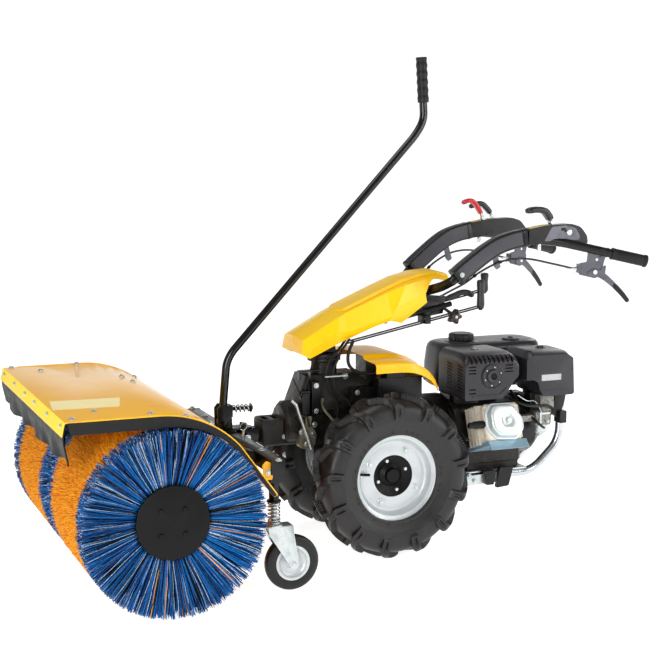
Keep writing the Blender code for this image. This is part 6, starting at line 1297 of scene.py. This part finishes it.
END_COUNT, MAIN_COUNT, MIDDLE_COUNT = 7600, 22000, 4200
HALF_LENGTH = 0.507
random = np.random.default_rng(7)
for side, word in SIDES:
    # End rings, whose outer filaments splay outwards past the end disc.
    lines, group = bundle(random, END_COUNT, 70, 5, side * 0.416, side * 0.452, 0.08, 0.013, 0.005,
        splay=side * 0.054, spread=0.019)
    lines[..., 1] = ROLL_AXIS[1] + np.clip(lines[..., 1] - ROLL_AXIS[1], -HALF_LENGTH, HALF_LENGTH)
    thick = np.array([0.0012, 0.0013, 0.0013, 0.0013, 0.0011]) * random.uniform(0.72, 1.18, END_COUNT)[:, None]
    # Neighbours in a bundle tend to share a colour, so pale and dark streaks run outwards together.
    tone = np.sin(group * 12.9898) * 43758.5453 % 1.0
    draw = np.where(random.uniform(0, 1, END_COUNT) < 0.2, tone, random.uniform(0, 1, END_COUNT))
    looks = np.digitize(draw, [0.43, 0.65, 0.8, 0.986])
    strands(f"end_bristles_{word}", lines, thick, looks,
            [blue_filament, navy_filament, pale_filament, black_filament, orange_filament], f"bristles_end_{word}")
    # Wide orange rings.
    lines, _ = bundle(random, MAIN_COUNT, 300, 2, side * 0.083, side * 0.4157, 0.19, 0.04, 0.007, spread=0.6)
    draw = random.uniform(0, 1, MAIN_COUNT)
    looks = np.digitize(draw, [0.42, 0.8])
    strands(f"orange_bristles_{word}", lines, np.array([0.0015, 0.0012]), looks,
            [orange_filament, amber_filament, rust_filament], f"bristles_main_{word}")
    # Middle blue rings, one each side of the drive's gap.
    lines, _ = bundle(random, MIDDLE_COUNT, 60, 3, side * 0.0383, side * 0.083, 0.15, 0.055, 0.0085, spread=0.05)
    draw = random.uniform(0, 1, MIDDLE_COUNT)
    looks = np.digitize(draw, [0.48, 0.78, 0.9])
    strands(f"middle_bristles_{word}", lines, np.array([0.0016, 0.0016, 0.0012]), looks,
            [blue_filament, navy_filament, pale_filament, black_filament], f"bristles_inner_{word}")

# Brush roll: painted shade under the tips
# Under the tips the filaments stand so close that no light comes through: a ribbed sleeve of the same plastic
# stands for the part of them out of sight, and its colour is painted shade, the dark tone the filaments have there.

# Painted shade: dark tones broken up every few millimetres, as the shaded gaps between filaments are.
orange_painted_shade = finish("shadowed_orange_filament", "#DE7A08", "#A84C04", 7, 0.6, 0.2, grain_mm=6, height_mm=2.5)
blue_painted_shade = finish("shadowed_blue_filament", "#062B66", "#041A40", 7, 0.6, 0.2, grain_mm=6, height_mm=2.5)


TAPER = 0.02


def sleeve(low, high, radius):
    """A tube of spikes round the roll: the radius rises and falls by 0.010 with turn and place, and is
    smaller by the taper at both ends."""
    along = np.linspace(low, high, max(4, int(abs(high - low) / 0.012)))[:, None]
    turn = np.linspace(0, 2 * np.pi, 180, endpoint=False)[None]
    ripple = np.sin(turn * 37 + along * 210) * np.sin(turn * 23 - along * 330)
    reach = radius + 0.01 * ripple - TAPER * ((np.abs(along - low) < 1e-6) | (np.abs(along - high) < 1e-6))
    along = np.broadcast_to(along, reach.shape)
    return skin(np.stack([reach * np.cos(turn), along, reach * np.sin(turn)], -1) + ROLL_AXIS)


# Painted shade: dark sleeves under the tips of the orange and the blue rings.
for side, word in SIDES:
    piece(f"orange_shade_sleeve_{word}", [sleeve(side * 0.085, side * 0.415, 0.214)], orange_painted_shade, "roll",
        angle=180)
    rings = [sleeve(side * 0.4162, side * 0.45, 0.165), sleeve(side * 0.04, side * 0.083, 0.2)]
    piece(f"blue_shade_sleeve_{word}", rings, blue_painted_shade, "roll", angle=180)

# Brush hood
# One bent sheet in golden yellow powder coat with a lip in front that clamps the flap, the lip's face painted
# brighter and more lemon as painted light; black side flanges under its edges, zinc-plated bolts through its
# gussets, and a plain paler film.

# Sheet enamel under a thin clear coat, which mirrors the studio softly.
hood_enamel = finish("golden_yellow_sheet_enamel", "#FFBC08", "#FCB404", 90, 0.32, 0.06, grain_mm=3.0,
    height_mm=0.006, gloss=0.5, coat=0.4)
dress("hood", hood_enamel, 1.0, 30)
pale_film = finish("blank_pale_film", "#FFE98A", "#FBE27C", 60, 0.3, 0.08, coat=0.2)
ROOF = 0.548
BEND = 0.3
BEND_START = -0.8


def roof_line():
    """The sheet's top from front to rear: flat, then the bend through 48 degrees, then a slope."""
    turn = np.radians(np.linspace(0, 48, 60))
    arc = np.stack([BEND_START + BEND * np.sin(turn), ROOF - BEND * (1 - np.cos(turn))], 1)
    flat = np.stack([np.linspace(-1.049, -0.806, 12), np.full(12, ROOF)], 1)
    slope = np.radians(54)
    end = arc[-1] + np.linspace(0.05, 1, 12)[:, None] * 0.176 * np.array([np.cos(slope), -np.sin(slope)])
    return np.concatenate([flat, arc, end])


def beside(line, distance):
    """The line moved square to itself, downwards, by a distance at each point."""
    along = np.gradient(line, axis=0)
    along /= np.linalg.norm(along, axis=1)[:, None]
    return line + np.stack([along[:, 1], -along[:, 0]], 1) * np.reshape(distance, (-1, 1))


roof = roof_line()
deep = np.interp(np.arange(len(roof)), [0, 12, 40, 72, 83], [0.035, 0.0345, 0.024, 0.014, 0.0125])
flange = np.concatenate([beside(roof, 0.0022)[1:], beside(roof, deep)[:0:-1]])
flange[0] += (-0.015, 0.0)
flange[-1] += (-0.008, 0.0)
shapes = [plate(flange, -0.5008, -0.4945, "Y"), plate(flange, 0.4345, 0.4408, "Y")]
rolled = beside(roof, 0.0004)[2:]
# Edge rubber with a fine moulded grain.
black_seal = finish("black_edge_rubber", "#0A0909", "#141212", 26, 0.34, 0.18, grain_mm=2.0, height_mm=0.05,
    gloss=0.35)
shapes += [sweep(at_width(rolled, y), circle(0.0019, 8)) for y in (-0.499, 0.439)]
piece("hood_side_flanges", shapes, black_seal, "carriage", angle=40,
    extras=[([2, 3], yellow_enamel)])
shapes = []
for x, y in ((-1.025, 0.425), (-0.949, 0.34), (-0.817, 0.43), (-0.946, -0.382), (-1.023, -0.462), (-0.814, -0.462)):
    shapes += hex_bolt((x, y, ROOF), "Z", 0.0068, 0.006)
for x, y in ((-0.729, 0.187), (-0.716, 0.102), (-0.723, -0.484), (-0.64, 0.38), (-0.64, -0.44)):
    turn = np.arcsin((x - BEND_START) / BEND)
    spot = (x, y, ROOF - BEND * (1 - np.cos(turn)))
    shapes += [moved(part, about("Y", np.degrees(turn)), spot) for part in hex_bolt(spot, "Z", 0.0068, 0.006)]
# Round screws along the lip, square to its slope.
head = lathe([(0.0078, 0.0), (0.0082, 0.0012), (0.007, 0.003), (0.004, 0.0042)], (0, 0, 0), "Z", 24)
socket = lathe([(0.0026, 0.0036), (0.0026, 0.0046)], (0, 0, 0), "Z", 6)
for y in (0.391, 0.21, 0.035, -0.112, -0.293, -0.468):
    shapes += [moved(part, about("Y", -103.3), by=(-1.0528, y, 0.533)) for part in (head, socket)]
piece("hood_bolts", shapes, zinc_plate, "carriage")
# Painted light: a thin overlay on the lip's face, of the hood's own enamel in a brighter, more lemon tone, as the
# lip looks where the lamps fall full on it.
lip_painted_light_enamel = finish("hood_lip_painted_light_enamel", "#FFDC00", "#FAD200", 90, 0.45, 0.06, grain_mm=3.0,
    height_mm=0.006, gloss=0.25)
lip_face = [(-1.0484, 0.5488), (-1.0493, 0.5486), (-1.0579, 0.512), (-1.057, 0.5119), (-1.0486, 0.544)]
piece("lip_painted_light_overlay", [plate(lip_face, -0.5005, 0.4405, "Y")], lip_painted_light_enamel, "carriage", bevel_mm=0.1)
film = np.array([(-1.027, -0.192), (-0.833, -0.206), (-0.865, -0.334), (-1.044, -0.322)])
piece("hood_label_film", [plate(film, ROOF + 0.0001, ROOF + 0.0004, "Z")], pale_film, "carriage")

# Rubber flap
# A thick black rubber sheet clamped behind the lip; its lower edge waves, and folds run down from it.
FLAP_TOP = 0.5415
FLAP_FOOT = 0.437
share = np.linspace(0, 1, 160)
wave = 0.008 * np.sin(2 * np.pi * 4.5 * share) + 0.0022 * np.sin(2 * np.pi * 11 * share + 1.0)
drop = 0.0065 * np.sin(2 * np.pi * 2.2 * share + 1.0) + 0.0025 * np.sin(2 * np.pi * 7 * share)
drop -= 0.01 * step(-share, -0.06, 0.0)
# All at once, one column down the sheet for each share of its width: the lip's slope leans the top, and
# below it the waves grow as the sheet hangs free.
z = FLAP_TOP - (FLAP_TOP - FLAP_FOOT - drop[:, None]) * np.linspace(0, 1, 24)
x = -1.0462 - 0.2368 * (ROOF - np.maximum(z, 0.51)) + step(-z, -0.508, -0.43) * (0.01 + wave[:, None])
y = np.broadcast_to(-0.496 + 0.932 * share[:, None], z.shape)
rows = np.concatenate([np.stack([x, y, z], -1), np.stack([x + 0.004, y, z], -1)[:, ::-1]], 1)
# Calendered sheet rubber, dry and dark.
flap_rubber = finish("black_sheet_rubber", "#0C0B0B", "#191716", 30, 0.44, 0.2, grain_mm=2.4, height_mm=0.05,
    gloss=0.25)
piece("wavy_flap", [skin(rows)], flap_rubber, "carriage", ["rubber_flap"], angle=50)

# Brush frame
# Square steel tubes and gussets in black powder coat, welded; plated bolts, a pin held by a spring clip,
# and a yellow bracket at each caster tube.
dress("brush_frame", black_coat, 1.2)
for word in ("left", "right"):
    dress(f"brush_core_{word}", finish(f"satin_black_disc_{word}", "#080808", "#0C0B0B", 60, 0.36, 0.12,
        grain_mm=2.0, height_mm=0.02, gloss=0.2), 1.0)
shapes = []
for y in (-0.37, 0.37):
    for z in (0.352, 0.378):
        shapes += hex_bolt((-0.428, y, z), "X", 0.0062, 0.0055)
for y in (-0.44, -0.3, 0.24, 0.38):
    shapes += hex_bolt((-0.448, y, 0.385), "Z", 0.0068, 0.006)
for y in (-0.046, 0.046):
    shapes += hex_bolt((-0.402, y, 0.366), "Y" if y > 0 else "-Y", 0.007, 0.006)
clip_ring = curve([(-0.445, -0.102, 0.412), (-0.438, -0.103, 0.426), (-0.426, -0.103, 0.425),
    (-0.424, -0.102, 0.412), (-0.434, -0.101, 0.403), (-0.444, -0.1, 0.406)], 40)
pin = curve([(-0.434, -0.101, 0.403), (-0.435, -0.101, 0.392), (-0.437, -0.101, 0.384)], 8)
shapes += [sweep(clip_ring, circle(0.0014, 8), up=(0, 1, 0.1)), sweep(pin, circle(0.004, 12))]
piece("frame_bolts", shapes, zinc_plate, "carriage")

# Casters
# Two swivel casters on sprung stems: a plated fork, a black rubber tyre on a pressed silver rim, a plated coil
# spring that rides with the sliding stem, and a clamp with its bolt on top of each tube.

# Hard moulded rubber, a little shinier than the drive tyres.
caster_rubber = finish("caster_tyre_rubber", "#0C0C0C", "#181716", 20, 0.34, 0.18, grain_mm=2.0, height_mm=0.04,
    gloss=0.4)
STEM_X = -0.448
AXLE = (-0.396, 0.08)
COIL = 0.0165
# Half of the tyre's and half of the rim's profile, as (radius, distance out).
tread = [(0.05, 0.0128), (0.054, 0.0138), (0.062, 0.0146), (0.07, 0.0142), (0.076, 0.0118), (0.079, 0.0075),
    (0.0797, 0.003)]
tread += [(r, -out) for r, out in tread[::-1]] + [(0.048, -0.01), (0.048, 0.01)]
disc = [(0.006, 0.012), (0.012, 0.012), (0.0135, 0.0105), (0.018, 0.006), (0.033, 0.005), (0.04, 0.0095),
    (0.043, 0.014), (0.047, 0.0148), (0.0505, 0.014), (0.0505, 0.012)]
disc += [(r, -out) for r, out in disc[::-1]]
for side, word in SIDES:
    y = ROLL_AXIS[1] + side * 0.37
    dress(f"caster_stem_{word}", zinc_plate, 0.6)
    # A wire on a helix of six turns, its first and last turn closed up.
    turn = np.linspace(0.0, 2 * np.pi * 6, 216)
    rise = np.interp(turn / (2 * np.pi), [0.0, 0.8, 5.2, 6.0], [0.2046, 0.2076, 0.2534, 0.2564])
    line = np.stack([STEM_X + COIL * np.cos(turn), y + COIL * np.sin(turn), rise], 1)
    coil = piece(f"caster_coil_{word}", [sweep(line, circle(0.0021, 10), up=(0, 0, 1))], zinc_plate,
        f"caster_slide_{word}", [f"caster_spring_{word}"], angle=60)
    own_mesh(coil)
    dress(f"caster_fork_{word}", zinc_plate, 1.0)
    middle = (AXLE[0], y, AXLE[1])
    shapes = [lathe(tread, middle, "Y", 96, ring=True), lathe(disc, middle, "Y", 72, ring=True)]
    piece(f"caster_tyre_{word}", shapes, caster_rubber, f"caster_roll_{word}", [f"caster_wheel_{word}"],
        angle=40, extras=[([1], silver_lacquer)])
    shapes = []
    for way in (-1, 1):
        shapes += hex_bolt((AXLE[0], y + way * 0.0215, AXLE[1]), "Y" if way > 0 else "-Y", 0.0068, 0.005)
    piece(f"caster_axle_nuts_{word}", shapes, zinc_plate, f"caster_yoke_{word}")
    clamp = [(0.015, 0.318), (0.0185, 0.319), (0.0185, 0.343), (0.015, 0.345)]
    bracket = eased([(-0.486, 0.33), (-0.462, 0.33), (-0.462, 0.376), (-0.48, 0.384), (-0.492, 0.372)], 0.004, 4)
    shapes = [lathe(clamp, (STEM_X, y, 0.0), "Z", 32, ring=True), plate(bracket, y - 0.03, y - 0.0265, "Y")]
    shapes += hex_bolt((-0.474, y - 0.03, 0.352), "-Y", 0.006, 0.005)
    piece(f"caster_clamp_{word}", shapes, zinc_plate, "carriage", bevel_mm=0.8,
        extras=[([1], yellow_enamel)])

# Angling lever
# A long bent tube in gloss black powder coat with a black rubber grip, which turns the brush to either
# side; a plated spring at its foot holds it in its notch.

# Powder coat with hardly any orange peel, so the studio's boxes show as sharp streaks.
gloss_black = finish("gloss_black_powder_coat", "#030303", "#070707", 50, 0.14, 0.08, grain_mm=3.0, height_mm=0.008,
    gloss=0.5)
lever = [(-0.468, 0.396), (-0.464, 0.47), (-0.453, 0.59), (-0.437, 0.622), (0.176, 1.277), (0.203, 1.322),
    (0.1925, 1.504)]
shapes = [sweep(eased_path(at_width(lever, 0.0), 0.03, 12), circle(0.0125, 32))]
joint = [(0.016, -0.0175), (0.0175, -0.016), (0.0175, 0.016), (0.016, 0.0175)]
shapes.append(lathe(joint, (-0.468, 0.0, 0.414), "Y", 32))
piece("angling_tube", shapes, gloss_black, "angle_handle", ["angle_lever"], angle=50)
# The grip's five and a half finger swells along it, with a collar below and a rounded top.
top, way = np.array([0.192, 0.0, 1.515]), np.array([0.0595, 0.0, -0.99823])
share = np.linspace(0, 1, 120)
line = top + way * (0.14 * share)[:, None]
bumps = 0.0172 + 0.0009 * np.cos(2 * np.pi * share * 5.5)
bumps *= np.interp(share, [0, 0.01, 0.03, 0.95, 0.965, 0.99, 1.0], [0.8, 0.95, 1.0, 1.0, 1.05, 1.05, 0.92])
piece("finger_grip", [sweep(line, circle(1.0, 36), bumps)], black_rubber, "angle_handle", ["lever_grip"],
    angle=60)
dress("lever_spring", zinc_plate, 0.0, 60)
shapes = [sweep([(-0.456, 0.0, 0.45), (-0.37, 0.0, 0.45)], circle(0.0048, 16))]
shapes.append(lathe([(0.009, 0.0), (0.009, 0.004)], (-0.376, 0.0, 0.45), "X", 6))
piece("spring_rod", shapes, zinc_plate, "carriage")
